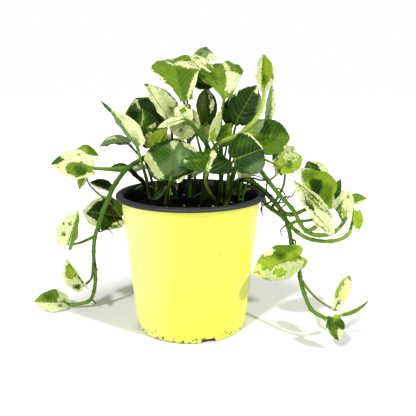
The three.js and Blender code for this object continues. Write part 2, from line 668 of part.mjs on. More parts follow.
for (const leaf of leaves) {
  const surface = bladeSurface(leaf);
  const petiole = [...leaf.stalk, surface(0, 0).toArray(), surface(0, petioleInBlade).toArray()];
  const steps = Math.max(3, petiole.length);
  const solid = blade(leaf).add(tube(petiole, petioleRadius, petioleSides, steps));
  const parent = stemNamed.get(leaf.from);
  if (leaf.unfurling) {
    const joined = solids.get(leaf.from).solid.add(solid);
    solids.get(leaf.from).solid = largestPiece(joined);
  } else if (parent) {
    const cut = solid.subtract(stemSolid(parent, clearance));
    solids.set(leaf.name, { solid: largestPiece(cut), color: leaf.color });
  } else {
    solids.set(leaf.name, { solid: largestPiece(solid), color: leaf.color });
    soilHoles.push(tube(petiole, petioleRadius, petioleSides, steps, clearance));
  }
}

for (const [name, { solid, color }] of solids) {
  addPiece(name, solid, color, 0.45);
}

// Soil: it fills the inner skin to a low mound, stays clear of the drain notches, and every stem
// and petiole that grows out of it has its own hole

const soilRadius = (height) => linerRadius(height) - skinThickness - clearance;
const soilFloor = linerFloor + skinThickness + clearance;
const soilOutline = [
  [0, soilFloor],
  [baseRadius - soilFootInset, soilFloor],
  [soilRadius(baseBand), baseBand + bandStep],
  [soilRadius(soilHeight), soilHeight],
  [soilRadius(soilHeight) - soilEdgeBand, soilHeight + 0.4 * soilMound],
  [soilRadius(soilHeight) * 0.5, soilHeight + 0.85 * soilMound],
  [0, soilHeight + soilMound],
];

let soil = revolve(soilOutline, potSides);
for (const hole of soilHoles) {
  soil = soil.subtract(hole);
}
addPiece("soil", soil, colors.soil, 0.95);

export default plant;
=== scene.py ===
# %% [markdown]
# # A potted trailing pothos
#
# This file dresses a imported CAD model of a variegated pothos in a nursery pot. The CAD model says
# where everything is: the pot's two skins, the soil, nine stems and forty-eight leaves. Here each of
# them is replaced by a finer mesh of the same piece with a living surface.
#
# Leaves are the heart of it. One blade is a flat grid that is bent into place, so the same few lines
# make every leaf, and a short list of painted patches gives each its own cream and green.

# %% Load the frame
import math
import random

import bmesh
import bpy
from mathutils import Matrix, Vector, noise
from mathutils.geometry import interpolate_bezier


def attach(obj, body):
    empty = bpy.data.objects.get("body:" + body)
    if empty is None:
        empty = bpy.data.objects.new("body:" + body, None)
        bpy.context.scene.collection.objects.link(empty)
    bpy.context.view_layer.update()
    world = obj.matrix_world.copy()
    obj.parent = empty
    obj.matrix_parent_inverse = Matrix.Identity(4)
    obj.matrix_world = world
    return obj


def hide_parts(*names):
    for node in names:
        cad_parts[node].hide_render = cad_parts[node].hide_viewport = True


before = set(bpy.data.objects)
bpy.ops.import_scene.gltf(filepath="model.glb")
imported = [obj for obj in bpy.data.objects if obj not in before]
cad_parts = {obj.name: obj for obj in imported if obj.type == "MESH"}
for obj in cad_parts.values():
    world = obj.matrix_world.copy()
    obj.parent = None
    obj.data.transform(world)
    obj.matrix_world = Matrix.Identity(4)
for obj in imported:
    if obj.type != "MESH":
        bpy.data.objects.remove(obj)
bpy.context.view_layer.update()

MM = 0.001
print("CAD nodes:", len(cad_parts))

# %% [markdown]
# ## Camera
#
# A product photograph is taken from a little above, with a normal lens. The pot's rim shows as an
# ellipse, and how flat that ellipse is gives the camera's height. A camera could be turned by hand
# until it looks right; here its place, pitch and turn are numbers, so the view can be repeated.

# %% Camera
CAMERA_DISTANCE = 0.6
CAMERA_HEIGHT = 0.266
CAMERA_PITCH = math.radians(13.3)
CAMERA_TURN = math.radians(1.68)
FOCAL_PIXELS = 600
IMAGE_PIXELS = 416

camera_data = bpy.data.cameras.new("camera")
camera_data.sensor_width = 36
camera_data.lens = camera_data.sensor_width * FOCAL_PIXELS / IMAGE_PIXELS
camera = bpy.data.objects.new("camera", camera_data)
camera.location = (0, -CAMERA_DISTANCE, CAMERA_HEIGHT)
camera.rotation_euler = (math.pi / 2 - CAMERA_PITCH, 0, -CAMERA_TURN)
bpy.context.collection.objects.link(camera)
bpy.context.scene.camera = camera
print("lens in millimeters:", round(camera_data.lens, 1))

# %% [markdown]
# ## Small tools for shader nodes
#
# A material is a tree of nodes. Adding a node, setting its options and wiring its sockets takes a
# line each, which hides what the tree does. `add_node` does all three in one call: an input that is
# given another node's socket is linked, and any other value is set on the socket itself. The tools
# after it are the few nodes that nearly every surface here needs, each under a plain name.

# %% Node tools
def add_node(tree, kind, inputs=None, **options):
    made = tree.nodes.new(kind)
    for option, value in options.items():
        setattr(made, option, value)
    for key, value in (inputs or {}).items():
        if isinstance(value, bpy.types.NodeSocket):
            tree.links.new(value, made.inputs[key])
        else:
            made.inputs[key].default_value = value
    return made


def calculate(tree, operation, first, second=0.0, third=0.0, clamp=False):
    values = {0: first, 1: second, 2: third}
    return add_node(tree, "ShaderNodeMath", values, operation=operation, use_clamp=clamp).outputs[0]


def remap(tree, value, start=0.0, end=1.0, low=0.0, high=1.0, smooth=False):
    """`low` where the value is `start`, `high` where it is `end`, and in between on the way."""
    return add_node(tree, "ShaderNodeMapRange", {0: value, 1: start, 2: end, 3: low, 4: high},
                    interpolation_type="SMOOTHSTEP" if smooth else "LINEAR").outputs[0]


def object_place(tree):
    """Where a point lies on its piece, in meters from the foot of the pot."""
    return add_node(tree, "ShaderNodeTexCoord").outputs["Object"]


def cloudy(tree, place, scale, detail, roughness=0.5):
    """Noise from 0 to 1. A larger scale is finer, and more detail is more crumbly."""
    return add_node(tree, "ShaderNodeTexNoise", {"Vector": place, "Scale": scale, "Detail": detail,
                                                 "Roughness": roughness}).outputs["Fac"]


print("node tools:", ", ".join(tool.__name__ for tool in (add_node, calculate, remap, cloudy)))

# %% Color tools
def mix_colors(tree, factor, first, second, blend="MIX"):
    mixed = add_node(tree, "ShaderNodeMix", {0: factor, 6: first, 7: second},
                     data_type="RGBA", blend_type=blend)
    return mixed.outputs[2]


def ramp_color(tree, value, stops):
    """A color for each value from 0 to 1. `stops` are (value, color), the first at 0, the last at 1."""
    ramp = add_node(tree, "ShaderNodeValToRGB", {0: value})
    elements = ramp.color_ramp.elements
    elements[0].color = stops[0][1]
    elements[1].color = stops[-1][1]
    for position, color in stops[1:-1]:
        elements.new(position).color = color
    return ramp.outputs["Color"]


def gray_color(tree, value):
    return add_node(tree, "ShaderNodeCombineColor", {0: value, 1: value, 2: value}).outputs[0]


def linear(red, green, blue):
    """A color as a screen shows it, 0 to 255, in the linear values that shaders take."""
    def one(value):
        value /= 255
        return value / 12.92 if value <= 0.04045 else ((value + 0.055) / 1.055) ** 2.4
    return (one(red), one(green), one(blue), 1.0)


print("middle gray of a screen in linear values:", round(linear(128, 128, 128)[0], 3))

# %% Materials
def new_material(name, roughness, specular):
    material = bpy.data.materials.new(name)
    material.use_nodes = True
    shader = material.node_tree.nodes["Principled BSDF"]
    shader.inputs["Roughness"].default_value = roughness
    shader.inputs["Specular IOR Level"].default_value = specular
    return material, material.node_tree, shader


def wire_up(tree, shader, **surface):
    """Link values to the shader's inputs, such as Base_Color=... and Normal=..."""
    for name, value in surface.items():
        tree.links.new(value, shader.inputs[name.replace("_", " ")])


print("materials made so far:", len(bpy.data.materials))

# %% [markdown]
# ## Two shared effects
#
# Dirt, perlite dust, bark and leaf flecks are all the same thing to a shader: noise that is cut off
# at a level. The first group makes that mask, soft or hard. The second makes fine bumps, which every
# molded, grown or crumbled surface has. A group is built once and placed in each material with
# values of its own, so a change to it reaches all of them.

# %% Shared groups
def new_group(name, inputs, outputs):
    group = bpy.data.node_groups.new(name, "ShaderNodeTree")
    for label, kind, value in inputs:
        socket = group.interface.new_socket(label, in_out="INPUT", socket_type=kind)
        if value is not None:
            socket.default_value = value
    for label, kind in outputs:
        group.interface.new_socket(label, in_out="OUTPUT", socket_type=kind)
    start = group.nodes.new("NodeGroupInput")
    end = group.nodes.new("NodeGroupOutput")
    return group, start.outputs, end.inputs


def build_flecks():
    inputs = [("Place", "NodeSocketVector", None), ("Scale", "NodeSocketFloat", 100.0),
              ("Level", "NodeSocketFloat", 0.6), ("Softness", "NodeSocketFloat", 0.05)]
    group, given, result = new_group("flecks", inputs, [("Mask", "NodeSocketFloat")])
    grain = cloudy(group, given["Place"], given["Scale"], detail=4.0, roughness=0.6)
    top = calculate(group, "ADD", given["Level"], given["Softness"])
    group.links.new(remap(group, grain, given["Level"], top, smooth=True), result["Mask"])
    return group


def build_fine_bumps():
    inputs = [("Place", "NodeSocketVector", None), ("Scale", "NodeSocketFloat", 900.0),
              ("Strength", "NodeSocketFloat", 0.1), ("Depth", "NodeSocketFloat", 0.0002),
              ("Height", "NodeSocketFloat", 0.0)]
    group, given, result = new_group("fine bumps", inputs, [("Normal", "NodeSocketVector")])
    grain = cloudy(group, given["Place"], given["Scale"], detail=3.0)
    height = calculate(group, "ADD", grain, given["Height"])
    bump = add_node(group, "ShaderNodeBump", {"Strength": given["Strength"],
                                              "Distance": given["Depth"], "Height": height})
    group.links.new(bump.outputs["Normal"], result["Normal"])
    return group


flecks = build_flecks()
fine_bumps = build_fine_bumps()
print("shared groups:", flecks.name, "and", fine_bumps.name)

# %% Place a group
def place_group(tree, group, **values):
    return add_node(tree, "ShaderNodeGroup", values, node_tree=group)


def fleck_mask(tree, place, scale, level, softness):
    """Noise above `level` as 1, the rest as 0, with a border as wide as `softness`."""
    return place_group(tree, flecks, Place=place, Scale=scale, Level=level,
                       Softness=softness).outputs["Mask"]


def fine_normal(tree, place, scale, strength, depth, height=0.0):
    """A bumpy normal. `depth` is in meters, and `height` is a larger relief to add to the bumps."""
    return place_group(tree, fine_bumps, Place=place, Scale=scale, Strength=strength, Depth=depth,
                       Height=height).outputs["Normal"]


def stain(tree, color, mask, amount, shade):
    """Lay a shade over a color where the mask is 1, with `amount` of it at most."""
    return mix_colors(tree, calculate(tree, "MULTIPLY", mask, amount), color, shade)


print("effects:", ", ".join(effect.__name__ for effect in (fleck_mask, fine_normal, stain)))

# %% [markdown]
# ## Turning an outline into a pot
#
# Thin nursery pots are drawn from a warm plastic sheet over a mold, so every corner is a small
# curve and the wall is the same thickness everywhere. Modeling one could start from a cylinder and
# scale its loops. Here the outline of the wall is a chain of points. A vertex bevel rounds its
# corners, and one full spin makes the pot, which keeps the wall's thickness true.

# %% Outline and spin
def outline_chain(bm, points):
    verts = [bm.verts.new((radius, 0, height)) for radius, height in points]
    for first, second in zip(verts, verts[1:]):
        bm.edges.new((first, second))
    return verts


def spin_outline(bm, points, rounded, steps):
    """Spin an outline of (radius, height) pairs about Z. `rounded` are the corners to soften."""
    verts = outline_chain(bm, points)
    corners = [verts[index] for index in rounded]
    if corners:
        bmesh.ops.bevel(bm, geom=corners, offset=0.4, segments=3, profile=0.5,
                        affect="VERTICES", material=-1)
    bmesh.ops.spin(bm, geom=bm.verts[:] + bm.edges[:], axis=(0, 0, 1), cent=(0, 0, 0),
                   angle=2 * math.pi, steps=steps, use_merge=True, use_duplicate=False)
    bmesh.ops.remove_doubles(bm, verts=bm.verts, dist=1e-4)
    bmesh.ops.recalc_face_normals(bm, faces=bm.faces)


def open_edges(bm):
    """How many edges don't have two faces. A closed mesh has none."""
    return sum(1 for edge in bm.edges if not edge.is_manifold)


def report_mesh(name, bm):
    print(name, "faces:", len(bm.faces), "open edges:", open_edges(bm))

# %% [markdown]
# ## Handing a mesh over as a piece
#
# Everything is drawn in millimeters, as a maker would, and becomes meters at the very end. Edges
# between faces that meet at a steep angle stay sharp, and the rest are shaded smooth.

# %% Finish a piece
SHARP_ANGLE = math.radians(50)


def mesh_in_meters(bm, name):
    bmesh.ops.scale(bm, vec=(MM, MM, MM), verts=bm.verts)
    mesh = bpy.data.meshes.new(name)
    bm.to_mesh(mesh)
    bm.free()
    return mesh


def finish_piece(bm, name, node, slot, material):
    for face in bm.faces:
        face.smooth = True
    for edge in bm.edges:
        if len(edge.link_faces) == 2 and edge.calc_face_angle(0) > SHARP_ANGLE:
            edge.smooth = False
    mesh = mesh_in_meters(bm, name)
    mesh.materials.append(material)
    piece = bpy.data.objects.new(name, mesh)
    bpy.context.collection.objects.link(piece)
    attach(piece, "root")
    if node:
        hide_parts(node)
    return piece


print("sharp edges are steeper than", round(math.degrees(SHARP_ANGLE)), "degrees")

# %% [markdown]
# ## The pot's two skins
#
# The pot is two sheets in one: yellow outside, black inside, and the black one rolls over the edge
# as a rim. The yellow wall has a small step at the foot and another below the rim. Both skins are
# spun separately, so the color line under the rim is a real edge and not painted on.

# %% Pot sizes
POT_HEIGHT = 141
RIM_RADIUS = 76
RIM_BOTTOM = POT_HEIGHT - 3.8
BASE_RADIUS = 57
WALL_TOP_RADIUS = 71.2
BASE_BAND = 6
BAND_STEP = 0.5
SHOULDER = RIM_BOTTOM - 6
SKIN = 0.9
GAP = 0.3
CORNER = 1.6


def wall_radius(height):
    return BASE_RADIUS + (WALL_TOP_RADIUS - BASE_RADIUS) * height / POT_HEIGHT


def liner_radius(height):
    return wall_radius(height) - SKIN - GAP - BAND_STEP


def wall_heights(start, end, step=4):
    """Heights about `step` apart between two others, so the wall can bend where it is dented."""
    count = max(1, round((end - start) / step))
    return [start + (end - start) * index / count for index in range(1, count)]


print("wall radius in millimeters:", wall_radius(0), "to", wall_radius(POT_HEIGHT))

# %% Yellow skin's outline
SKIN_TOP = RIM_BOTTOM - 0.8

outer_outline = [(0, 0), (BASE_RADIUS - CORNER, 0), (BASE_RADIUS, CORNER),
                 (wall_radius(BASE_BAND) - BAND_STEP, BASE_BAND - BAND_STEP),
                 (wall_radius(BASE_BAND), BASE_BAND + BAND_STEP)]
outer_outline += [(wall_radius(h), h) for h in wall_heights(BASE_BAND + BAND_STEP, SHOULDER - 1)]
outer_outline += [(wall_radius(SHOULDER) - BAND_STEP, SHOULDER),
                  (wall_radius(SHOULDER), SHOULDER + 2 * BAND_STEP),
                  (wall_radius(SKIN_TOP), SKIN_TOP), (wall_radius(SKIN_TOP) - SKIN, SKIN_TOP)]
outer_outline += [(wall_radius(h) - BAND_STEP - SKIN, h)
                  for h in reversed(wall_heights(BASE_BAND, SHOULDER, 8))]
outer_outline += [(wall_radius(BASE_BAND) - BAND_STEP - SKIN, BASE_BAND),
                  (BASE_RADIUS - SKIN, CORNER + GAP),
                  (BASE_RADIUS - CORNER - 2 * GAP, SKIN), (0, SKIN)]
print("points in the yellow skin's outline:", len(outer_outline))

# %% Black skin's outline
LINER_FLOOR = SKIN + GAP
RIM_LIP = 1.2
FLANGE_BOTTOM = POT_HEIGHT - 1.1

liner_corner = BASE_RADIUS - SKIN - GAP - BAND_STEP
rim_inner = liner_radius(POT_HEIGHT) - SKIN
inner_outline = [(0, LINER_FLOOR), (liner_corner - SKIN, LINER_FLOOR),
                 (liner_corner, LINER_FLOOR + RIM_LIP), (liner_radius(BASE_BAND), BASE_BAND)]
inner_outline += [(liner_radius(h), h) for h in wall_heights(BASE_BAND, RIM_BOTTOM)]
inner_outline += [(liner_radius(RIM_BOTTOM), RIM_BOTTOM),
                  (liner_radius(POT_HEIGHT) + SKIN, FLANGE_BOTTOM),
                  (RIM_RADIUS - RIM_LIP, FLANGE_BOTTOM), (RIM_RADIUS - RIM_LIP, RIM_BOTTOM + BAND_STEP),
                  (RIM_RADIUS - RIM_LIP / 2, RIM_BOTTOM), (RIM_RADIUS, RIM_BOTTOM + BAND_STEP),
                  (RIM_RADIUS, POT_HEIGHT - RIM_LIP), (RIM_RADIUS - RIM_LIP, POT_HEIGHT),
                  (rim_inner + RIM_LIP, POT_HEIGHT), (rim_inner, POT_HEIGHT - RIM_LIP)]
inner_outline += [(liner_radius(h) - SKIN, h) for h in reversed(wall_heights(BASE_BAND, RIM_BOTTOM))]
inner_outline += [(liner_radius(BASE_BAND) - SKIN, BASE_BAND),
                  (liner_corner - 2 * SKIN, LINER_FLOOR + SKIN), (0, LINER_FLOOR + SKIN)]
print("points in the black skin's outline:", len(inner_outline))

# %% [markdown]
# ## Drain notches and a dent
#
# Four wedges are cut through the corner of the base to let water out. Cutting them by hand would
# mean reworking the loops around each one, so a Boolean modifier takes them away and its result is
# kept. A soft pot also picks up a dent where a thumb or a shelf pressed it. That is a smooth push of
# the wall towards its axis, the same for both skins and the soil behind them.

# %% Notches
NOTCH_COUNT = 4
NOTCH_HEIGHT = 4.5
NOTCH_DEPTH = 16
NOTCH_HALF_TOP = 6.5
NOTCH_HALF_FOOT = 9.5
NOTCH_TURN = 17


def notch_cutter():
    bm = bmesh.new()
    for index in range(NOTCH_COUNT):
        wedge = bmesh.ops.create_cube(bm, size=1)["verts"]
        for vert in wedge:
            top = vert.co.z > 0
            aside = math.copysign(NOTCH_HALF_TOP if top else NOTCH_HALF_FOOT, vert.co.x)
            vert.co = Vector((aside, vert.co.y * NOTCH_DEPTH - BASE_RADIUS, NOTCH_HEIGHT if top else -CORNER))
        turn = math.radians(NOTCH_TURN + 360 / NOTCH_COUNT * index)
        bmesh.ops.rotate(bm, verts=wedge, cent=(0, 0, 0), matrix=Matrix.Rotation(turn, 3, "Z"))
    bmesh.ops.recalc_face_normals(bm, faces=bm.faces)
    return bpy.data.objects.new("notch_cutter", mesh_in_meters(bm, "notch cutter"))


def cut_notches(piece, cutter):
    modifier = piece.modifiers.new("notches", "BOOLEAN")
    modifier.operation = "DIFFERENCE"
    modifier.solver = "EXACT"
    modifier.object = cutter
    bpy.context.view_layer.update()
    cut = bpy.data.meshes.new_from_object(piece.evaluated_get(bpy.context.evaluated_depsgraph_get()))
    piece.modifiers.clear()
    piece.data = cut


cutter = notch_cutter()
bpy.context.collection.objects.link(cutter)
print("notch cutter:", len(cutter.data.polygons), "faces")

# %% Dent
DENT_TURN = 54
DENT_HEIGHT = 47
DENT_DEPTH = 2.3
DENT_HALF_WIDTH = 9
DENT_HALF_HEIGHT = 12
DENT_SLANT = 0.35
UNDENTED_RADIUS = 40


def dent_wall(bm):
    """Push the wall in where the pot was pressed. What is near the axis stays."""
    heading = Vector((math.sin(math.radians(DENT_TURN)), -math.cos(math.radians(DENT_TURN)), 0))
    side = heading.cross(Vector((0, 0, 1)))
    deepest = 0
    for vert in bm.verts:
        radial = Vector((vert.co.x, vert.co.y, 0))
        if radial.length < UNDENTED_RADIUS or radial.dot(heading) < 0:
            continue
        sideways = radial.dot(side) / DENT_HALF_WIDTH
        upward = (vert.co.z - DENT_HEIGHT - DENT_SLANT * radial.dot(side)) / DENT_HALF_HEIGHT
        push = DENT_DEPTH * math.exp(-(sideways ** 2 + upward ** 2) ** 1.4)
        deepest = max(deepest, push)
        vert.co -= radial.normalized() * push
    print("dented by", round(deepest, 2), "millimeters")

# %% [markdown]
# ## Yellow plastic, gray-black plastic
#
# The yellow is a bright, slightly glossy film with a few specks of potting mix on its foot and faint
# smudges where it was handled. Dirt on a product is best painted by hand, but a shader can put it
# where it belongs: a mask by height keeps most specks low, and the same fleck group breaks it up.

# %% Marks on the wall
def distance_along(tree, place, direction):
    return add_node(tree, "ShaderNodeVectorMath", {0: place, 1: direction},
                    operation="DOT_PRODUCT").outputs["Value"]


def wall_spot(tree, place, turn, height, half_width, half_height, slant):
    """A soft oval on the wall, `turn` degrees right of the front: 1 in its middle, 0 outside.

    `height` is in millimeters, and the two half sizes are in meters."""
    turn = math.radians(turn)
    facing = (math.sin(turn), -math.cos(turn), 0)
    out = distance_along(tree, place, facing)
    aside = distance_along(tree, place, (-facing[1], facing[0], 0))
    up = distance_along(tree, place, (0, 0, 1))
    leaned = calculate(tree, "MULTIPLY_ADD", aside, -slant, calculate(tree, "SUBTRACT", up, height * MM))
    flat = calculate(tree, "POWER", calculate(tree, "DIVIDE", aside, half_width), 2.0)
    tall = calculate(tree, "POWER", calculate(tree, "DIVIDE", leaned, half_height), 2.0)
    spot = remap(tree, calculate(tree, "ADD", flat, tall), start=1.0, end=0.55, smooth=True)
    return calculate(tree, "MULTIPLY", spot, calculate(tree, "GREATER_THAN", out, 0.0))


def height_line(tree, height, middle, half_width):
    """A thin band round the pot at one height, both in millimeters."""
    off = calculate(tree, "ABSOLUTE", calculate(tree, "SUBTRACT", height, middle * MM))
    return remap(tree, off, start=half_width * MM, end=half_width * MM * 0.4, smooth=True)


def crease_shade_and_scuffs(tree, place, height):
    """Painted shade along the wall's three creases, and one patch of fine scuffs from handling."""
    low_creases = calculate(tree, "ADD", height_line(tree, height, BASE_BAND, 0.5),
                            height_line(tree, height, 0.4, 0.9))
    creases = calculate(tree, "MAXIMUM", low_creases, height_line(tree, height, SHOULDER, 0.4))
    patch = wall_spot(tree, place, turn=28, height=93, half_width=0.011, half_height=0.014, slant=0.2)
    scuffs = calculate(tree, "MULTIPLY", patch,
                       fleck_mask(tree, place, scale=420.0, level=0.5, softness=0.1))
    return calculate(tree, "MAXIMUM", calculate(tree, "MULTIPLY", creases, 0.4),
                     calculate(tree, "MULTIPLY", scuffs, 0.7))


print("creases above the foot, in millimeters:", BASE_BAND, "and", round(SHOULDER, 1))

# %% Yellow plastic
def build_yellow():
    material, tree, shader = new_material("pot yellow", roughness=0.36, specular=0.4)
    place = object_place(tree)
    across, _, height = add_node(tree, "ShaderNodeSeparateXYZ", {0: place}).outputs
    plastic = mix_colors(tree, cloudy(tree, place, scale=14.0, detail=2.0),
                         (0.83, 0.86, 0.085, 1), (0.79, 0.82, 0.06, 1))
    # Painted light: the wall turns paler towards its left side, where the light falls more strongly.
    painted_left_light = remap(tree, across, start=-0.012, end=-0.062)
    plastic = mix_colors(tree, painted_left_light, plastic, (0.88, 0.89, 0.25, 1))
    smudge = fleck_mask(tree, place, scale=38.0, level=0.6, softness=0.2)
    plastic = stain(tree, plastic, smudge, 0.3, (0.66, 0.68, 0.1, 1))
    # Painted shade: an olive patch over the dent, for the shade that lies in it.
    dent = wall_spot(tree, place, turn=DENT_TURN + 14, height=DENT_HEIGHT, half_width=0.017,
                     half_height=0.014, slant=0.3)
    plastic = stain(tree, plastic, dent, 0.8, (0.42, 0.43, 0.06, 1))
    # The creases get painted shade and the scuffs real rubbing marks, both in the same dark olive.
    plastic = mix_colors(tree, crease_shade_and_scuffs(tree, place, height), plastic, (0.34, 0.33, 0.06, 1))
    near_foot = remap(tree, height, start=0.016, end=0.004, high=0.17)
    specks = fleck_mask(tree, place, scale=300.0, level=calculate(tree, "SUBTRACT", 0.715, near_foot),
                        softness=0.03)
    wire_up(tree, shader, Base_Color=mix_colors(tree, specks, plastic, (0.11, 0.085, 0.045, 1)),
            Roughness=remap(tree, smudge, low=0.34, high=0.5),
            Normal=fine_normal(tree, place, scale=420.0, strength=0.08, depth=0.0002))
    return material


yellow = build_yellow()
print(yellow.name, "nodes:", len(yellow.node_tree.nodes))

# %% Black plastic
def build_black():
    """Dusty above the soil, and near black inside the rim: painted shade where the wall goes down into the
    soil.
    """
    material, tree, shader = new_material("pot black", roughness=0.6, specular=0.35)
    place = object_place(tree)
    dust = fleck_mask(tree, place, scale=210.0, level=0.6, softness=0.15)
    color = mix_colors(tree, dust, (0.02, 0.022, 0.023, 1), (0.045, 0.044, 0.04, 1))
    flat = add_node(tree, "ShaderNodeVectorMath", {0: place, 1: (1, 1, 0)}, operation="MULTIPLY")
    out = add_node(tree, "ShaderNodeVectorMath", {0: flat.outputs[0]}, operation="LENGTH").outputs["Value"]
    # Painted shade: the inside of the wall, nearer the axis than the rim, is made near black.
    painted_inner_shade = remap(tree, out, start=0.0715, end=0.0695)
    wire_up(tree, shader, Base_Color=mix_colors(tree, painted_inner_shade, color, (0.002, 0.002, 0.0016, 1)),
            Roughness=remap(tree, dust, low=0.52, high=0.8),
            Normal=fine_normal(tree, place, scale=1100.0, strength=0.2, depth=0.0002))
    return material


black = build_black()
print(black.name, "nodes:", len(black.node_tree.nodes))

# %% Make the skins
POT_STEPS = 160

for node, outline, rounded, material, slot in (
        ("pot_outer_skin", outer_outline, (1, 2, 3, 4), yellow, "pot_yellow"),
        ("pot_inner_skin", inner_outline, (), black, "pot_black")):
    bm = bmesh.new()
    spin_outline(bm, outline, rounded, POT_STEPS)
    dent_wall(bm)
    report_mesh(node, bm)
    cut_notches(finish_piece(bm, "fine_" + node, node, slot, material), cutter)
bpy.data.objects.remove(cutter)

# %% [markdown]
# ## Potting mix
#
# Potting mix is dark peat with bark, roots and white perlite. Millions of crumbs can't be modeled,
# and a flat disk with a noisy material looks painted. The middle way is a lumpy body pushed about by
# noise, with nearly six hundred loose crumbs of only twenty faces each scattered on it.

# %% Soil height
SOIL_HEIGHT = 127.5
SOIL_MOUND = 3.5
SOIL_RADIUS = liner_radius(SOIL_HEIGHT) - SKIN - GAP
# Each lump: how fine, how high in millimeters, and which slice of the noise it is.
SOIL_LUMPS = ((0.07, 1.6, 3), (0.33, 0.8, 9), (0.8, 0.4, 5))


def soil_top(x, y):
    """Height of the lumpy surface in millimeters."""
    out = min(1, math.hypot(x, y) / SOIL_RADIUS)
    mound = SOIL_MOUND * (1 - out ** 2)
    edge = max(0, min(1, (1 - out) * 8))
    lumps = sum(noise.noise(Vector((x, y, layer)) * fine) * high for fine, high, layer in SOIL_LUMPS)
    return SOIL_HEIGHT + mound + lumps * edge


print("soil in the middle, millimeters:", round(soil_top(0, 0), 1))

# %% Soil materials
def build_soil_material(name, dark, light, scale):
    material, tree, shader = new_material(name, roughness=0.95, specular=0.06)
    place = object_place(tree)
    crumbs = fleck_mask(tree, place, scale, level=0.42, softness=0.25)
    wire_up(tree, shader, Base_Color=mix_colors(tree, crumbs, dark, light),
            Normal=fine_normal(tree, place, scale * 1.7, strength=0.9, depth=0.0012))
    return material


peat = build_soil_material("peat", (0.0015, 0.0013, 0.001, 1), (0.008, 0.0065, 0.005, 1), 420.0)
bark = build_soil_material("bark", (0.006, 0.0035, 0.002, 1), (0.05, 0.035, 0.022, 1), 260.0)
perlite = build_soil_material("perlite", (0.55, 0.54, 0.5, 1), (0.85, 0.84, 0.8, 1), 500.0)
print("soil materials:", peat.name, bark.name, perlite.name)

# %% Soil body
SOIL_FLOOR = LINER_FLOOR + SKIN + GAP
SOIL_FOOT = BASE_RADIUS - 8
SOIL_RINGS = 40
SOIL_STEPS = 144

soil_outline = [(0, SOIL_FLOOR), (SOIL_FOOT, SOIL_FLOOR),
                (liner_radius(BASE_BAND) - SKIN - GAP, BASE_BAND + BAND_STEP)]
soil_outline += [(liner_radius(h) - SKIN - GAP, h) for h in wall_heights(BASE_BAND, SOIL_HEIGHT, 10)]
soil_outline += [(SOIL_RADIUS, SOIL_HEIGHT)]
soil_outline += [(SOIL_RADIUS * (1 - ring / SOIL_RINGS), SOIL_HEIGHT + 1) for ring in range(1, SOIL_RINGS)]
soil_outline += [(0, SOIL_HEIGHT + 1)]
bm = bmesh.new()
spin_outline(bm, soil_outline, (), SOIL_STEPS)
dent_wall(bm)
for vert in bm.verts:
    if vert.co.z > SOIL_HEIGHT - 0.1:
        vert.co.z = soil_top(vert.co.x, vert.co.y)
report_mesh("soil", bm)
finish_piece(bm, "fine_soil", "soil", "soil", peat)

# %% [markdown]
# ## Crumbs, bark and perlite
#
# Every crumb is an icosphere that is stretched along one axis and flattened along another, with its
# corners moved at random, from a seed, so each run gives the same ground. Larger flat ones read as
# bark, and round white ones as perlite.

# %% Crumbs
POT_EDGE_CLEAR = 3
CRUMB_SHAKE = 0.2


def scatter(name, material, count, smallest, largest, flatness, seed):
    """Lay crumbs on the soil. Sizes are in millimeters, and most crumbs are near the smallest."""
    chance = random.Random(seed)
    bm = bmesh.new()
    for _ in range(count):
        turn = chance.uniform(0, 2 * math.pi)
        out = (SOIL_RADIUS - POT_EDGE_CLEAR) * math.sqrt(chance.random())
        x, y = out * math.cos(turn), out * math.sin(turn)
        size = smallest + (largest - smallest) * chance.random() ** 2
        verts = bmesh.ops.create_icosphere(bm, subdivisions=1, radius=size)["verts"]
        bmesh.ops.scale(bm, vec=(chance.uniform(0.7, 1.6), 1, flatness), verts=verts)
        for vert in verts:
            vert.co += Vector([chance.uniform(-CRUMB_SHAKE, CRUMB_SHAKE) * size for _ in range(3)])
        tilt = Matrix.Rotation(chance.uniform(-0.6, 0.6), 3, "X") @ Matrix.Rotation(turn * 3, 3, "Z")
        bmesh.ops.rotate(bm, verts=verts, cent=(0, 0, 0), matrix=tilt)
        bmesh.ops.translate(bm, verts=verts, vec=(x, y, soil_top(x, y) + size * 0.25 * flatness))
    bmesh.ops.recalc_face_normals(bm, faces=bm.faces)
    report_mesh(name, bm)
    finish_piece(bm, name, None, "soil", material)


scatter("peat_crumbs", peat, count=420, smallest=0.7, largest=2.6, flatness=0.7, seed=11)
scatter("bark_bits", bark, count=110, smallest=0.9, largest=3.4, flatness=0.35, seed=12)
scatter("perlite_grains", perlite, count=46, smallest=0.5, largest=1.7, flatness=0.9, seed=13)

# %% [markdown]
# ## Rods along a path
#
# Stems, petioles, aerial roots and the midrib under each leaf are all rods that follow a curve and
# change thickness on the way. A curve object with a bevel would do for one of them. A mesh rod can
# also carry colors along its length and swell at its joints, so each rod starts as a plain cylinder
# with evenly cut rings, and every ring is then moved to its place on the path.

# %% Smooth paths
CURVE_POINTS = 16


def dense_curve(points):
    """A smooth curve through the given points, each stretch of it a Bezier curve."""
    knots = [Vector(point) for point in points]
    knots = [2 * knots[0] - knots[1]] + knots + [2 * knots[-1] - knots[-2]]
    dense = []
    for before, start, end, after in zip(knots, knots[1:], knots[2:], knots[3:]):
        leave = start + (end - before) / 6
        arrive = end - (after - start) / 6
        dense += interpolate_bezier(start, leave, arrive, end, CURVE_POINTS)[:-1]
    return dense + [knots[-2]]


def smooth_path(points, spacing):
    """The same curve as evenly spaced points."""
    dense = dense_curve(points)
    reached = [0.0]
    for first, second in zip(dense, dense[1:]):
        reached.append(reached[-1] + (second - first).length)
    count = max(2, round(reached[-1] / spacing))
    even, index = [], 0
    for step in range(count + 1):
        target = reached[-1] * step / count
        while index < len(dense) - 2 and reached[index + 1] < target:
            index += 1
        span = max(reached[index + 1] - reached[index], 1e-9)
        even.append(dense[index].lerp(dense[index + 1], (target - reached[index]) / span))
    return even


bend = smooth_path([(0, 0, 0), (9, 2, 0), (18, 8, 0)], 2)
print("points on a bend 20 millimeters long:", len(bend))

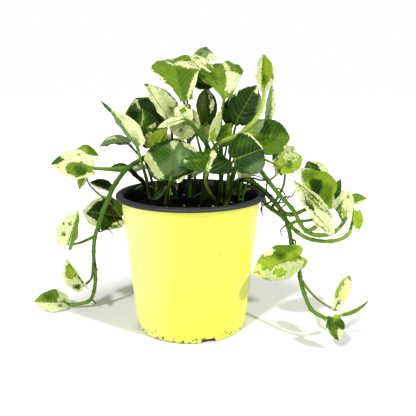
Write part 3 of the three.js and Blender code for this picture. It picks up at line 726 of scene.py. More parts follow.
# %% Rods
def path_frames(path):
    """Two side directions at each point, turning as little as they can from point to point."""
    frames, side = [], None
    for index in range(len(path)):
        ahead = path[min(index + 1, len(path) - 1)] - path[max(index - 1, 0)]
        ahead.normalize()
        if side is None:
            side = ahead.orthogonal().normalized()
        side = (side - ahead * side.dot(ahead)).normalized()
        frames.append((side, ahead.cross(side)))
    return frames


def add_rod(bm, path, radius_at, sides):
    """Add a closed rod; `radius_at` takes 0 to 1 along the path. Returns [(vert, 0 to 1), ...]."""
    before = len(bm.verts)
    bmesh.ops.create_cone(bm, cap_ends=True, segments=sides, radius1=1, radius2=1, depth=1)
    bm.verts.ensure_lookup_table()
    long_edges = [edge for edge in {e for vert in bm.verts[before:] for e in vert.link_edges}
                  if abs(edge.verts[0].co.z - edge.verts[1].co.z) > 0.5]
    if len(path) > 2:
        bmesh.ops.subdivide_edges(bm, edges=long_edges, cuts=len(path) - 2, use_grid_fill=True)
        bm.verts.ensure_lookup_table()
    frames = path_frames(path)
    placed = []
    for vert in bm.verts[before:]:
        along = vert.co.z + 0.5
        index = round(along * (len(path) - 1))
        turn = math.atan2(vert.co.y, vert.co.x)
        side, up = frames[index]
        vert.co = path[index] + (side * math.cos(turn) + up * math.sin(turn)) * radius_at(along)
        placed.append((vert, along))
    return placed


bm = bmesh.new()
add_rod(bm, bend, lambda along: 1.0, 8)
report_mesh("rod along the bend", bm)
bm.free()

# %% [markdown]
# ## Stem skin
#
# A pothos vine is brown and corky where it is old, green for most of its length and lime at its
# growing tip. One number per vertex, its age, drives that color. Lengthwise streaks come from noise
# that is stretched along the stem, which needs the stem's own coordinates and not the room's.

# %% Stem material
STEM_COLORS = [(0.0, linear(60, 42, 22)), (0.2, linear(46, 58, 14)), (0.45, linear(54, 88, 16)),
               (0.7, linear(104, 140, 34)), (1.0, linear(168, 188, 74))]
AGE_SHAKE = 0.35


def build_stem_material():
    material, tree, shader = new_material("stem", roughness=0.42, specular=0.16)
    age = add_node(tree, "ShaderNodeAttribute", attribute_name="age").outputs["Fac"]
    place = add_node(tree, "ShaderNodeAttribute", attribute_name="stem_place").outputs["Vector"]
    streaks = cloudy(tree, place, scale=1.0, detail=4.0)
    shade = calculate(tree, "MULTIPLY_ADD", streaks, AGE_SHAKE, age)
    color = ramp_color(tree, calculate(tree, "SUBTRACT", shade, AGE_SHAKE / 2), STEM_COLORS)
    bumps = fine_normal(tree, object_place(tree), scale=700.0, strength=0.35, depth=0.0003,
                        height=streaks)
    wire_up(tree, shader, Base_Color=color, Roughness=remap(tree, age, low=0.75, high=0.36), Normal=bumps)
    return material


stem_skin = build_stem_material()
print(stem_skin.name, "nodes:", len(stem_skin.node_tree.nodes))

# %% Numbers along a rod
STREAKS_AROUND = 2
STREAKS_ALONG = 0.06


def stem_bmesh():
    bm = bmesh.new()
    bm.verts.layers.float.new("age")
    bm.verts.layers.float_vector.new("stem_place")
    return bm


def paint_rod(bm, placed, length, age_at, seed):
    """Give each vertex its age, and its place round and along the rod for the streaks."""
    age = bm.verts.layers.float["age"]
    place = bm.verts.layers.float_vector["stem_place"]
    for vert, along in placed:
        vert[age] = age_at(along)
        around = (vert.normal if vert.normal.length else Vector((0, 0, 1))) * STREAKS_AROUND
        vert[place] = Vector((around.x, around.y + around.z, along * length * STREAKS_ALONG + seed))


print("length of a streak in millimeters:", round(1 / STREAKS_ALONG))

# %% [markdown]
# ## Nine stems
#
# Each stem is given by the points it passes through, from the soil outward. Every eighteen
# millimeters a vine has a node, a ring where a leaf or a root can grow, and it is a little thicker
# there. The routes are the CAD model's, because the leaves hang on them.
#
# A row gives the CAD node, the radius in millimeters, the age at both ends and the points. Age runs
# from 0, brown and corky, to 1, newly grown. A second row with the same name is a branch.

# %% Stem routes
stems = [
    ("stem_left_vine", 2.0, 0.3, 0.7,
     [(-14, 10, 106), (-15, 9, 131), (-24, 4, 160), (-41, -2, 177), (-50, -6, 175), (-62, -9, 168),
      (-70, -9, 159), (-78, -8, 147), (-84, -5, 134), (-90, 0, 121), (-96, 6, 105), (-101, 11, 92),
      (-104, 16, 75), (-105, 21, 60), (-105, 26, 43), (-108, 32, 24), (-114, 36, 10), (-126, 38, 5),
      (-139, 38, 4)]),
    ("stem_left_vine", 2.0, 0.12, 0.3,
     [(-62, -9, 168), (-56, 8, 157), (-50, 26, 146), (-47, 41, 129), (-45, 41, 108)]),
    ("stem_right_vine", 2.0, 0.3, 0.62,
     [(36, 8, 106), (38, 7, 131), (46, 3, 150), (54, -2, 154), (63, -7, 151), (72, -12, 145.5),
      (80, -15, 138), (86, -16, 131), (94, -18, 119), (99, -18, 105), (102, -18, 91), (109, -20, 72),
      (111, -26, 54), (114, -36, 42), (119, -48, 31), (130, -56, 26), (136, -61, 24)]),
    ("stem_right_vine", 1.9, 0.5, 0.6,
     [(86, -16, 131), (93, -17, 123), (102, -18, 121), (110, -18, 124), (119, -20, 129)]),
    ("stem_right_dark", 2.0, 0.22, 0.7,
     [(34, -16, 106), (35, -17, 131), (44, -18, 168), (54, -18, 176), (66, -22, 169), (75, -26, 158),
      (87, -28, 143), (100, -29, 129), (106, -30, 118), (113, -31, 108), (119, -31, 109),
      (127, -30, 114)]),
    ("stem_right_dark", 1.9, 0.6, 0.8,
     [(113, -31, 108), (122, -27, 102.5), (134, -24, 101), (143, -22, 103), (150, -20, 108),
      (158, -16, 119)]),
    ("stem_right_loop", 2.0, 0.28, 0.84,
     [(44, 34, 106), (46, 36, 131), (54, 42, 147), (63, 46, 147), (71, 40, 140), (77, 28, 130),
      (79, 17, 124), (84, 9, 121), (95, 0, 114), (107, -8, 102), (119, -14, 95), (137, -16, 92),
      (152, -16, 94), (161, -15, 100), (164, -12, 107)]),
    ("stem_young", 1.9, 0.6, 1.0,
     [(14, 12, 106), (14, 12, 131), (16, 10, 155), (20, 2, 178), (27, -12, 192), (41, -20, 199),
      (52, -24, 206), (61, -28, 216), (67, -30, 226), (69, -30, 236)]),
    ("stem_arch", 1.8, 0.3, 0.5,
     [(11, -6, 106), (11, -7, 131), (16, -8, 160), (19, -11, 184), (11, -18, 198), (2, -21, 211),
      (-5, -20, 217)]),
    ("stem_centre", 2.1, 0.35, 0.5, [(-2, 20, 106), (-2, 20, 131), (-1, 14, 165), (-2, 10, 200)]),
    ("stem_centre_right", 2.1, 0.35, 0.5, [(30, 0, 106), (30, -1, 131), (31, -2, 165), (30, -4, 198)]),
    ("stem_back", 2.1, 0.35, 0.5, [(14, 40, 106), (14, 40, 131), (17, 42, 170), (18, 44, 215)]),
]
print("stem routes:", len(stems), "on", len({name for name, *_ in stems}), "stems")

# %% Thickness of a stem
NODE_SPACING = 18
NODE_SWELLING = 0.28
NODE_HALF_LENGTH = 1.6
FOOT_THICKNESS = 1.28
TAPER = 0.3


def stem_radius(radius, length):
    """A function from 0 to 1 along the stem. The foot is thicker than the given radius."""
    def at(along):
        from_node = (along * length) % NODE_SPACING
        from_node = min(from_node, NODE_SPACING - from_node)
        swelling = NODE_SWELLING * math.exp(-(from_node / NODE_HALF_LENGTH) ** 2)
        tip = min(1.0, 0.35 + (1 - along) * length / 4)
        return radius * (FOOT_THICKNESS - TAPER * along + swelling) * tip
    return at


print("a vine's radius at its foot, millimeters:", round(stem_radius(2.0, 200)(0), 2))

# %% Make the stems
STEM_SPACING = 2.2

stem_meshes = {}
for number, (name, radius, old, young, points) in enumerate(stems):
    bm = stem_meshes.setdefault(name, stem_bmesh())
    path = smooth_path(points, STEM_SPACING)
    length = STEM_SPACING * (len(path) - 1)
    placed = add_rod(bm, path, stem_radius(radius, length), 10)
    bm.normal_update()
    paint_rod(bm, placed, length, lambda along: old + (young - old) * along, number * 7)
for name, bm in stem_meshes.items():
    bmesh.ops.recalc_face_normals(bm, faces=bm.faces)
    report_mesh(name, bm)
    finish_piece(bm, "fine_" + name, name, "stem_young" if name == "stem_young" else "stem", stem_skin)

# %% [markdown]
# ## Roots in the air
#
# Brown aerial roots grow from the nodes of the old vines, and a few pale strands and cut stalks stand
# in the mix. They are too thin for the CAD model, so they are extra rods of the same kind.

# %% Routes of roots, strands and stubs
aerial_roots = [
    [(-84, -5, 134), (-79.8, -3, 130), (-79.4, -4, 118), (-71, -2, 105)],
    [(-96, 6, 105), (-94.7, 5, 98), (-88, 4, 102), (-81, 4, 96)],
    [(-105, 21, 60), (-103, 16, 57), (-100, 15, 52)],
    [(-114, 36, 10), (-110, 35, 10), (-107, 34, 6)],
    [(46, 3, 150), (60, -17, 160.5), (70.5, -18, 158.5), (78.5, -18, 153)],
    [(72, -12, 145.5), (71, -17, 135), (71.5, -17, 116)],
    [(102, -18, 95), (106, -18, 93), (104.6, -18, 86)],
    [(94, -18, 119), (96, -20, 112), (90, -21, 106), (92, -21, 99)],
    [(80, -15, 138), (80, -17, 134), (74, -17, 132), (70, -17, 127), (72, -18, 121)],
    [(75, -26, 158), (74.9, -20, 146), (80, -17, 138.7), (77, -17, 130)],
    [(87, -28, 143), (84.6, -22, 149), (92, -22, 144.6), (94.6, -22, 135)],
    [(84, 9, 121), (88, 2, 128), (96, -4, 131), (101, -6, 139)],
    [(86, -16, 131), (92, -19, 139), (100, -20, 140), (104, -20, 147)],
    [(100, -29, 129), (95, -28, 134), (90, -27, 131), (86, -27, 124)],
]
strands = [[(-66, 24, 130), (-60, 34, 137), (-48, 30, 143), (-38, 22, 140)],
           [(2, 16, 131), (10, 12, 137), (20, 12, 134)],
           [(-20, 44, 131), (-24, 50, 136), (-30, 46, 133)]]
stubs = [[(-36, 22, 128), (-36.5, 22, 147)], [(-17, 40, 128), (-19, 42, 137)]]
print("thin rods:", len(aerial_roots), "roots,", len(strands), "strands,", len(stubs), "stubs")

# %% Make the thin rods
THIN_SPACING = 1.4


def add_lines(name, lines, radius, age, material):
    bm = stem_bmesh()
    for number, points in enumerate(lines):
        path = smooth_path(points, THIN_SPACING)
        placed = add_rod(bm, path, lambda along: radius * (1.1 - 0.6 * along), 6)
        bm.normal_update()
        paint_rod(bm, placed, THIN_SPACING * len(path), lambda along: age, number)
    bmesh.ops.recalc_face_normals(bm, faces=bm.faces)
    report_mesh(name, bm)
    finish_piece(bm, name, None, "stem", material)


root_skin = build_soil_material("root", (0.03, 0.014, 0.007, 1), (0.12, 0.06, 0.028, 1), 300.0)
add_lines("aerial_roots", aerial_roots, radius=0.95, age=0.0, material=root_skin)
add_lines("strands", strands, radius=0.6, age=0.7, material=stem_skin)
add_lines("stubs", stubs, radius=2.0, age=0.85, material=stem_skin)

# %% [markdown]
# ## Leaf skin
#
# This pothos has small waxy leaves with clean-edged cream and green areas, some gray-green, and fine
# ribs that run out and forward from the midrib. An image texture would show all that, but it would
# be someone's picture. Here each vertex carries four numbers: how far inside a cream area it is, its
# green tone, how gray it is, and whether it lies on the underside. Gray also carries painted light: a
# painted sheen on glossy green and painted shade on cream. The shader breaks up the border with noise
# that is stretched along the ribs, as the real borders are.

# %% Leaf colors
GREENS = [(0.0, linear(18, 40, 6)), (0.3, linear(44, 78, 7)), (0.55, linear(80, 111, 16)),
          (0.8, linear(120, 149, 34)), (1.0, linear(164, 190, 44))]
CREAM = linear(210, 216, 160)
BUTTER = linear(212, 216, 106)
SAGE = linear(118, 140, 92)
SAGE_CREAM = linear(162, 174, 110)
UNDERSIDE = linear(138, 158, 84)
MIDRIB = linear(128, 150, 60)
print("greens from dark to lime:", len(GREENS))

# %% Veins
VEIN_SLANT = 0.62


def build_vein_heights():
    """Ribs that leave the midrib at a slant, 1 on a rib and 0 between two, and streaks along them."""
    inputs = [("Across", "NodeSocketFloat", 0.0), ("Along", "NodeSocketFloat", 0.0),
              ("Spacing", "NodeSocketFloat", 4.6), ("Seed", "NodeSocketFloat", 0.0)]
    group, given, result = new_group("vein heights", inputs, [("Ribs", "NodeSocketFloat"),
                                                              ("Streaks", "NodeSocketFloat")])
    sideways = calculate(group, "ABSOLUTE", given["Across"])
    rib = calculate(group, "MULTIPLY_ADD", sideways, -VEIN_SLANT, given["Along"])
    stretched = add_node(group, "ShaderNodeCombineXYZ",
                         {0: calculate(group, "MULTIPLY", rib, 0.3),
                          1: calculate(group, "MULTIPLY", given["Across"], 0.13), 2: given["Seed"]})
    streaks = cloudy(group, stretched.outputs[0], scale=1.0, detail=5.0, roughness=0.6)
    shaken = calculate(group, "MULTIPLY_ADD", streaks, 2.2, rib)
    turned = calculate(group, "MULTIPLY", shaken, 2 * math.pi)
    phase = calculate(group, "DIVIDE", turned, given["Spacing"])
    wave = calculate(group, "MULTIPLY_ADD", calculate(group, "COSINE", phase), 0.5, 0.5)
    group.links.new(calculate(group, "POWER", wave, 4.0), result["Ribs"])
    group.links.new(streaks, result["Streaks"])
    return group


vein_heights = build_vein_heights()
print("vein group nodes:", len(vein_heights.nodes))

# %% Cream and green
def cream_area(tree, cream_at, rough_edge, fine_edge, spot):
    """1 where the leaf is cream. Green specks of half strength lie in it."""
    border = calculate(tree, "ADD", calculate(tree, "ADD", cream_at, rough_edge), fine_edge)
    cream = remap(tree, border, start=0.47, end=0.53, smooth=True)
    specks = fleck_mask(tree, spot, scale=0.6, level=0.56, softness=0.06)
    return calculate(tree, "SUBTRACT", cream, calculate(tree, "MULTIPLY", specks, 0.5), clamp=True)


def green_color(tree, tone, rough_edge, fine_edge, ribs):
    """Green by its tone, streaky along the ribs, which are lighter than a dark leaf."""
    shifted = calculate(tree, "ADD", tone, calculate(tree, "MULTIPLY", rough_edge, 0.9))
    shifted = calculate(tree, "ADD", shifted, calculate(tree, "MULTIPLY", fine_edge, 0.35))
    contrast = calculate(tree, "MULTIPLY_ADD", tone, -0.2, 0.19)
    return ramp_color(tree, calculate(tree, "MULTIPLY_ADD", ribs, contrast, shifted), GREENS)


print("leaf color tools:", cream_area.__name__, "and", green_color.__name__)

# %% Leaf material
def build_leaf_material():
    material, tree, shader = new_material("leaf", roughness=0.4, specular=0.1)
    looks = add_node(tree, "ShaderNodeAttribute", attribute_name="looks")
    cream_at, tone, gray = add_node(tree, "ShaderNodeSeparateColor", {0: looks.outputs["Color"]}).outputs
    underside = looks.outputs["Alpha"]
    spot = add_node(tree, "ShaderNodeAttribute", attribute_name="leaf_place").outputs["Vector"]
    across, along, seed = add_node(tree, "ShaderNodeSeparateXYZ", {0: spot}).outputs
    veins = place_group(tree, vein_heights, Across=across, Along=along, Spacing=4.4, Seed=seed)
    ribs = veins.outputs["Ribs"]
    grain = cloudy(tree, spot, scale=0.5, detail=6.0, roughness=0.7)
    streaks = calculate(tree, "SUBTRACT", veins.outputs["Streaks"], 0.5)
    rough_edge = calculate(tree, "MULTIPLY", streaks, 0.28)
    fine_edge = calculate(tree, "MULTIPLY", calculate(tree, "SUBTRACT", grain, 0.5), 0.5)

    # Gray mixes toward sage: partly the leaf's own gray-green, partly painted sheen on green and painted
    # shade on cream.
    green = mix_colors(tree, gray, green_color(tree, tone, rough_edge, fine_edge, ribs), SAGE)
    pale = mix_colors(tree, remap(tree, tone, start=0.62), CREAM, BUTTER)
    pale = mix_colors(tree, gray, pale, SAGE_CREAM)
    color = mix_colors(tree, cream_area(tree, cream_at, rough_edge, fine_edge, spot), green, pale)
    midrib = remap(tree, calculate(tree, "ABSOLUTE", across), start=0.75, end=0.25, high=0.32)
    color = mix_colors(tree, midrib, color, MIDRIB)
    color = stain(tree, color, underside, 0.35, UNDERSIDE)
    shade = gray_color(tree, calculate(tree, "MULTIPLY_ADD", grain, 0.5, 0.72))
    color = mix_colors(tree, 1.0, color, shade, "MULTIPLY")

    grooves = calculate(tree, "MULTIPLY_ADD", ribs, -1.6, calculate(tree, "MULTIPLY", midrib, -2.5))
    bumps = fine_normal(tree, object_place(tree), scale=900.0, strength=0.5, depth=0.00022,
                        height=grooves)
    rough = remap(tree, grain, start=0.3, end=0.7, low=0.34, high=0.5)
    wire_up(tree, shader, Base_Color=color, Roughness=rough, Normal=bumps)
    return material


leaf_skin = build_leaf_material()
print(leaf_skin.name, "nodes:", len(leaf_skin.node_tree.nodes))

# %% [markdown]
# ## Bending a leaf
#
# A blade is a heart that narrows to a drip tip. Its midrib is an arc from the petiole to the tip, and
# its two halves lean up from the midrib and curl, each in its own way. Sculpting sixty blades by hand
# would take days. Instead one function turns a flat place on the blade, `q` across from -1 to 1 and
# `s` along from 0 to 1, into a point in space, and a dozen numbers a leaf say how it is bent:
#
# - `arch`: the bend of the midrib from end to end, in degrees.
# - `halves`: how both halves lean at the base and at the tip, and how they curl, in degrees. `left`
#   and `right` say it for one half.
# - `shoulder`, `widest`: the width at the base as a share of the full width, and where that is reached.
# - `lobe`: how far each half reaches back past the petiole. `fullness`: how blunt the tip is.
# - `petiole`, `stout`: the green tone of the petiole, and how thick it is for its leaf. Low tones
#   on stalks that stand back in the pot's mouth are painted shade.

# %% Outline of a blade
LEAF_DEFAULTS = {"arch": 20, "halves": (10, 10, 10), "left": None, "right": None, "shoulder": 0.7,
                 "widest": 0.38, "lobe": 0.12, "fullness": 2.8, "ground": "mid", "looks": None,
                 "petiole": 0.5, "stout": 1.0}
FULL_WIDTH = 0.94


def ease(edge, value):
    t = min(max(value / edge, 0), 1)
    return t * t * (3 - 2 * t)


def of_side(value, q):
    """A pair gives the left half's value and the right half's; one number is both."""
    return value[0 if q < 0 else 1] if isinstance(value, tuple) else value


def half_width(leaf, q, s):
    """Half of the blade's width at `s`, in millimeters, measured over its flat shape."""
    shoulder = of_side(leaf["shoulder"], q)
    outline = shoulder + (1 - shoulder) * ease(of_side(leaf["widest"], q), s)
    fullness = leaf["fullness"]
    point = 1 - 2.2 / fullness ** 2 * ease(0.25, s - 0.75) if fullness > 2 else 1
    return max(leaf["width"] / 2 * outline * point * (1 - s ** fullness) / FULL_WIDTH, 0.25)


plain_leaf = {**LEAF_DEFAULTS, "width": 30}
print("half widths of a plain leaf, in tenths of its length:",
      [round(half_width(plain_leaf, 1, tenth / 10), 1) for tenth in range(11)])

# %% Bent blade
def blade_surface(leaf):
    """The function that bends this leaf's flat places, and the leaf's length."""
    base = Vector(leaf["base"])
    chord = Vector(leaf["tip"]) - base
    length = chord.length
    along = chord.normalized()
    facing = Vector(leaf["faces"])
    up = (facing - along * facing.dot(along)).normalized()
    across = along.cross(up)
    arch = math.radians(leaf["arch"] if abs(leaf["arch"]) > 0.5 else 0.5)
    radius = length / (2 * math.sin(arch / 2))

    def place(q, s):
        side = abs(q)
        lean_base, lean_tip, curl = leaf["left" if q < 0 else "right"] or leaf["halves"]
        curl = math.radians(max(curl, 1) if curl >= 0 else curl)
        lean = math.radians(lean_base + (lean_tip - lean_base) * s)
        half = half_width(leaf, q, s)
        out = half * (math.sin(lean + curl * side) - math.sin(lean)) / curl
        rise = half * (math.cos(lean) - math.cos(lean + curl * side)) / curl
        back = leaf["lobe"] * length * math.sin(math.pi * side) * (1 - s) ** 2
        turn = arch * (s - 0.5)
        x = length / 2 + radius * math.sin(turn) - back * math.cos(turn)
        z = radius * (math.cos(turn) - math.cos(arch / 2)) + back * math.sin(turn)
        return (base + along * (x + rise * math.sin(turn)) + up * (z + rise * math.cos(turn))
                + across * math.copysign(out, q))

    return place, length


plain_leaf.update(base=(0, 0, 0), tip=(0, 40, 0), faces=(0, 0, 1))
place, length = blade_surface(plain_leaf)
print("its edge, halfway along, in millimeters:", [round(value, 1) for value in place(1, 0.5)])

# %% [markdown]
# ## Painting a leaf
#
# The cream and green areas are laid on the blade one over another, like paper cut-outs. Most are
# ovals: color, middle (q, s), half sizes (q, s), and a turn in degrees. Some are outlines: color and
# three or more corners (q, s). What is kept at each vertex isn't the color itself but how far inside
# or outside the cut-out it is, in millimeters. A border that is stored as a distance stays crisp
# between vertices, where stored colors would blur.

# %% Colors and cut-outs
# Each color says whether it is a cream, its green tone from 0 to 1, and how gray it is. Gray is partly the
#  leaf's own gray-green and partly painted light: the grayish dark green is dark green with a painted sheen,
#  sage also stands for the sheen on the front leaves, and pale and olive are creams dimmed by painted shade.
COLORS = {"cream": (True, 0.5, 0.0), "butter": (True, 1.0, 0.0), "pale": (True, 0.5, 0.75),
          "olive": (True, 0.62, 1.0), "dark": (False, 0.04, 0.0), "cool": (False, 0.16, 0.34),
          "green": (False, 0.28, 0.0), "moss": (False, 0.48, 0.0), "mid": (False, 0.62, 0.04),
          "lime": (False, 0.86, 0.0), "sage": (False, 0.5, 0.8)}
EDGE_SLOPE = 0.055
TONE_BLEND = 3


def inside_oval(at, middle, sizes, turn):
    """How many millimeters a place lies inside an oval's edge. Outside it is negative."""
    u, v = at[0] - middle[0], at[1] - middle[1]
    turned = math.radians(turn)
    u, v = u * math.cos(turned) + v * math.sin(turned), v * math.cos(turned) - u * math.sin(turned)
    return (1 - math.hypot(u / sizes[0], v / sizes[1])) * min(sizes)


def inside_outline(at, corners):
    """The same for a shape that is cut along straight lines from corner to corner."""
    nearest, inside = 1e9, False
    for (x_0, y_0), (x_1, y_1) in zip(corners, corners[1:] + corners[:1]):
        run, rise = x_1 - x_0, y_1 - y_0
        t = ((at[0] - x_0) * run + (at[1] - y_0) * rise) / max(run * run + rise * rise, 1e-9)
        t = min(max(t, 0), 1)
        nearest = min(nearest, math.hypot(at[0] - x_0 - t * run, at[1] - y_0 - t * rise))
        if (y_0 > at[1]) != (y_1 > at[1]) and at[0] < x_0 + run * (at[1] - y_0) / rise:
            inside = not inside
    return nearest if inside else -nearest


print("middle of a disk 5 millimeters in radius:", inside_oval((0, 0), (0, 0), (5, 5), 0))

# %% Painting
def paint_at(leaf, length, q, s):
    """How far inside a cream area a place is, as a value around 0.5, its green tone and its gray."""
    is_cream, tone, gray = COLORS[leaf["ground"]]
    cream = 1.0 if is_cream else 0.0
    half = leaf["width"] / 2
    at = (q * half, s * length)
    for color, *shape in leaf["looks"]:
        if isinstance(shape[0], tuple):
            inside = inside_outline(at, [(q_0 * half, s_0 * length) for q_0, s_0 in shape])
        else:
            q_0, s_0, half_q, half_s, turn = shape
            inside = inside_oval(at, (q_0 * half, s_0 * length), (half_q * half, half_s * length), turn)
        is_cream, new_tone, new_gray = COLORS[color]
        field = 0.5 + EDGE_SLOPE * inside
        cream = max(cream, min(field, 1)) if is_cream else min(cream, max(1 - field, 0))
        weight = min(max(0.5 + inside / TONE_BLEND, 0), 1)
        tone += (new_tone - tone) * weight
        gray += (new_gray - gray) * weight
    return cream, tone, gray


def chance_looks(name):
    """Cut-outs for a leaf that the photograph doesn't show."""
    chance = random.Random(name)
    looks = [("lime" if chance.random() < 0.4 else "green", chance.uniform(-0.4, 0.4),
              chance.uniform(0.3, 0.7), 0.4, 0.3, chance.uniform(-40, 40))]
    for side in (-1, 1, chance.choice((-1, 1))):
        looks.append(("cream", side * chance.uniform(0.65, 1.0), chance.uniform(0.1, 0.9),
                      chance.uniform(0.25, 0.55), chance.uniform(0.12, 0.35), chance.uniform(-30, 30)))
    return looks


print("painted colors:", ", ".join(COLORS))

# %% [markdown]
# ## From a flat grid to a living blade
#
# The blade starts as a flat grid, extruded into a slab, so its top, underside and edge are closed
# from the start. Each vertex is moved to its place on the bent surface, and then along the surface's
# own direction by half the blade's thickness and by the relief: a groove at the midrib, low ribs, a
# wavy margin and a slow unevenness. Doing that with modifiers would need a texture for each.

# %% Relief
RIB_SPACING = 6.2
RIB_HEIGHT = 0.22
GROOVE_DEPTH = 0.45
WAVE_HEIGHT = 0.9
WAVE_LENGTHS = (13, 16)
UNEVENNESS = 1.3
COMMON_WIDTH = 40


def relief(leaf, length, q, s, phases):
    """Millimeters that the surface rises above its plain bend."""
    across, along = q * half_width(leaf, q, s), s * length
    size = leaf["width"] / COMMON_WIDTH
    groove = -GROOVE_DEPTH * math.exp(-(across / 1.1) ** 2)
    rib = along - VEIN_SLANT * abs(across)
    ribs = RIB_HEIGHT * math.cos(2 * math.pi * rib / RIB_SPACING) * min(1, abs(across) / 3)
    side = 0 if q < 0 else 1
    swing = math.sin(2 * math.pi * along / WAVE_LENGTHS[side] + phases[side])
    wave = WAVE_HEIGHT * size * q * q * swing
    slow = noise.noise(Vector((across * 0.09, along * 0.09, phases[2]))) * UNEVENNESS * size
    fade = min(1, s * 5) * min(1, (1 - s) * 4)
    return groove + ribs + (wave + slow) * fade


print("ribs in 40 millimeters of leaf:", round(40 / RIB_SPACING))

# %% Blade
BLADE_COLUMNS = 26
BLADE_ROWS = 30
BLADE_END = 0.985
HALF_THICKNESS = 0.32
EDGE_THINNER = 0.16


def surface_normal(place, q, s, sideways):
    """Which way the top of the blade faces, from two short steps on its surface."""
    point = place(q, s)
    across = (place(q + sideways, s) - point) / sideways
    return across.cross(place(q, s + 0.01) - point).normalized()


def add_blade(bm, leaf, place, length):
    chance = random.Random(leaf["name"])
    phases = [chance.uniform(0, 6.28) for _ in range(3)]
    seed = chance.uniform(0, 60)
    grid = bmesh.ops.create_grid(bm, x_segments=BLADE_COLUMNS, y_segments=BLADE_ROWS, size=1)["verts"]
    faces = list({face for vert in grid for face in vert.link_faces})
    raised = bmesh.ops.extrude_face_region(bm, geom=faces)["geom"]
    raised = [item for item in raised if isinstance(item, bmesh.types.BMVert)]
    looks = bm.verts.layers.float_color["looks"]
    spot = bm.verts.layers.float_vector["leaf_place"]
    for verts, level in ((grid, -1), (raised, 1)):
        for vert in verts:
            q, s = vert.co.x, (vert.co.y + 1) / 2 * BLADE_END
            normal = surface_normal(place, q, s, -0.01 if q > 0 else 0.01)
            thick = HALF_THICKNESS - EDGE_THINNER * abs(q)
            vert[looks] = (*paint_at(leaf, length, q, s), 0.0 if level > 0 else 1.0)
            vert[spot] = (q * half_width(leaf, q, s), s * length, seed)
            vert.co = place(q, s) + normal * (level * thick + relief(leaf, length, q, s, phases))


print("blade thickness in millimeters:", 2 * HALF_THICKNESS, "and at the edge",
      round(2 * (HALF_THICKNESS - EDGE_THINNER), 2))

# %% [markdown]
# ## Petiole and midrib
#
# The petiole carries the blade like a wire, and it runs on under the blade as the midrib. It has a
# thicker elbow where it meets the blade, which the plant uses to turn its leaf to the light.

# %% Petiole
PETIOLE_SPACING = 2.0
PETIOLE_RADIUS = 1.15
ELBOW = 0.35


def petiole_rod(leaf, place):
    """The petiole's path and its radius along it."""
    path = smooth_path(list(leaf["stalk"]) + [leaf["base"], place(0, 0.05)], PETIOLE_SPACING)
    reach = PETIOLE_SPACING * len(path)
    thick = min(PETIOLE_RADIUS, 0.6 + leaf["width"] / 55) * leaf["stout"]

    def radius_at(along):
        elbow = ELBOW * math.exp(-((1 - along) * reach / 5 - 0.6) ** 2)
        return thick * (1.65 - 0.7 * along + elbow) * min(1, 0.4 + (1 - along) * reach / 2.5)

    return path, radius_at, thick


plain_leaf["stalk"] = [(0, -30, -20), (0, -10, -5)]
path, radius_at, thick = petiole_rod(plain_leaf, place)
print("a plain leaf's petiole in millimeters, halfway:", round(2 * radius_at(0.5), 1))

# %% Midrib
MIDRIB_STEPS = 14
MIDRIB_START = 0.02
MIDRIB_REACH = 0.83
MIDRIB_SUNK = 0.5


def midrib_path(place):
    """Points just under the middle of the blade."""
    path = []
    for step in range(MIDRIB_STEPS + 1):
        s = MIDRIB_START + MIDRIB_REACH * step / MIDRIB_STEPS
        path.append(place(0, s) - surface_normal(place, 0, s, 0.02) * MIDRIB_SUNK)
    return path


def add_petiole(bm, leaf, place):
    path, radius_at, thick = petiole_rod(leaf, place)
    looks = bm.verts.layers.float_color["looks"]
    spot = bm.verts.layers.float_vector["leaf_place"]
    for line, radius, sides in ((path, radius_at, 9),
                                (midrib_path(place), lambda along: thick * (0.85 - 0.62 * along), 6)):
        for vert, along in add_rod(bm, line, radius, sides):
            vert[looks] = (0.0, leaf["petiole"] + 0.12 * along, 0.0, 0.3)
            vert[spot] = (5, along * 30, 7)


print("points in a midrib:", len(midrib_path(place)))

# %% Make a leaf
made = []


def make_leaf(name, node, **given):
    leaf = {**LEAF_DEFAULTS, "name": name, **given}
    if leaf["looks"] is None:
        leaf["looks"] = chance_looks(name)
    bm = bmesh.new()
    bm.verts.layers.float_color.new("looks")
    bm.verts.layers.float_vector.new("leaf_place")
    place, length = blade_surface(leaf)
    add_blade(bm, leaf, place, length)
    add_petiole(bm, leaf, place)
    bmesh.ops.recalc_face_normals(bm, faces=bm.faces)
    made.append((len(bm.faces), open_edges(bm)))
    finish_piece(bm, "fine_" + name, node, "leaf", leaf_skin)


def leaf(name, **given):
    """A leaf that stands for the CAD node of the same name."""
    make_leaf(name, name, **given)


def extra_leaf(name, **given):
    """A leaf too small for a CAD node of its own."""
    make_leaf(name, None, **given)


def report(title):
    print(title, "leaves:", len(made), "faces:", sum(faces for faces, _ in made),
          "open edges:", sum(opened for _, opened in made))
    made.clear()

# %% [markdown]
# ## The crown
#
# The leaves at the top are the largest, and they arch back over their own stems so that their far
# half shows from behind. Cream lies along margins and as one clean stripe.

# %% Crown leaves
leaf("leaf_crown_left",
     base=(-6, -13, 233), tip=(-20, 36, 273), width=57, faces=(0, -0.7, 0.7), arch=75,
     left=(25, 0, 10), right=(25, 5, 10), shoulder=(0.15, 0.32), widest=0.55, lobe=0,
     stalk=[(-2, 10.5, 196), (-3, 8, 216), (-5, -4, 228)], ground="mid",
     looks=[("moss", (0, 0.5), (0.65, 0.42), (0.7, 0.2), (0.4, 0.08), (0.05, -0.05), (-0.15, 0.15)),
            ("mid", 0, 0.9, 1.3, 0.14, 0),
            ("pale", 0.2, 0.9, 0.5, 0.07, 0),
            ("cream", (-0.6, 0.82), (0.4, 0.68), (0.85, 0.55), (1.2, 0.45), (1.2, 0.3), (0.4, 0.48),
             (0.05, 0.62)),
            ("cream", (0.85, 0.33), (1.2, 0.35), (1.2, -0.05), (0.3, -0.05), (0.6, 0.15)),
            ("mid", (0.65, 0.06), (1.2, 0.12), (1.2, -0.05), (0.55, -0.05)),
            ("cream", (-1.2, 0.55), (-0.92, 0.5), (-0.8, 0.3), (-1.2, 0.22))])
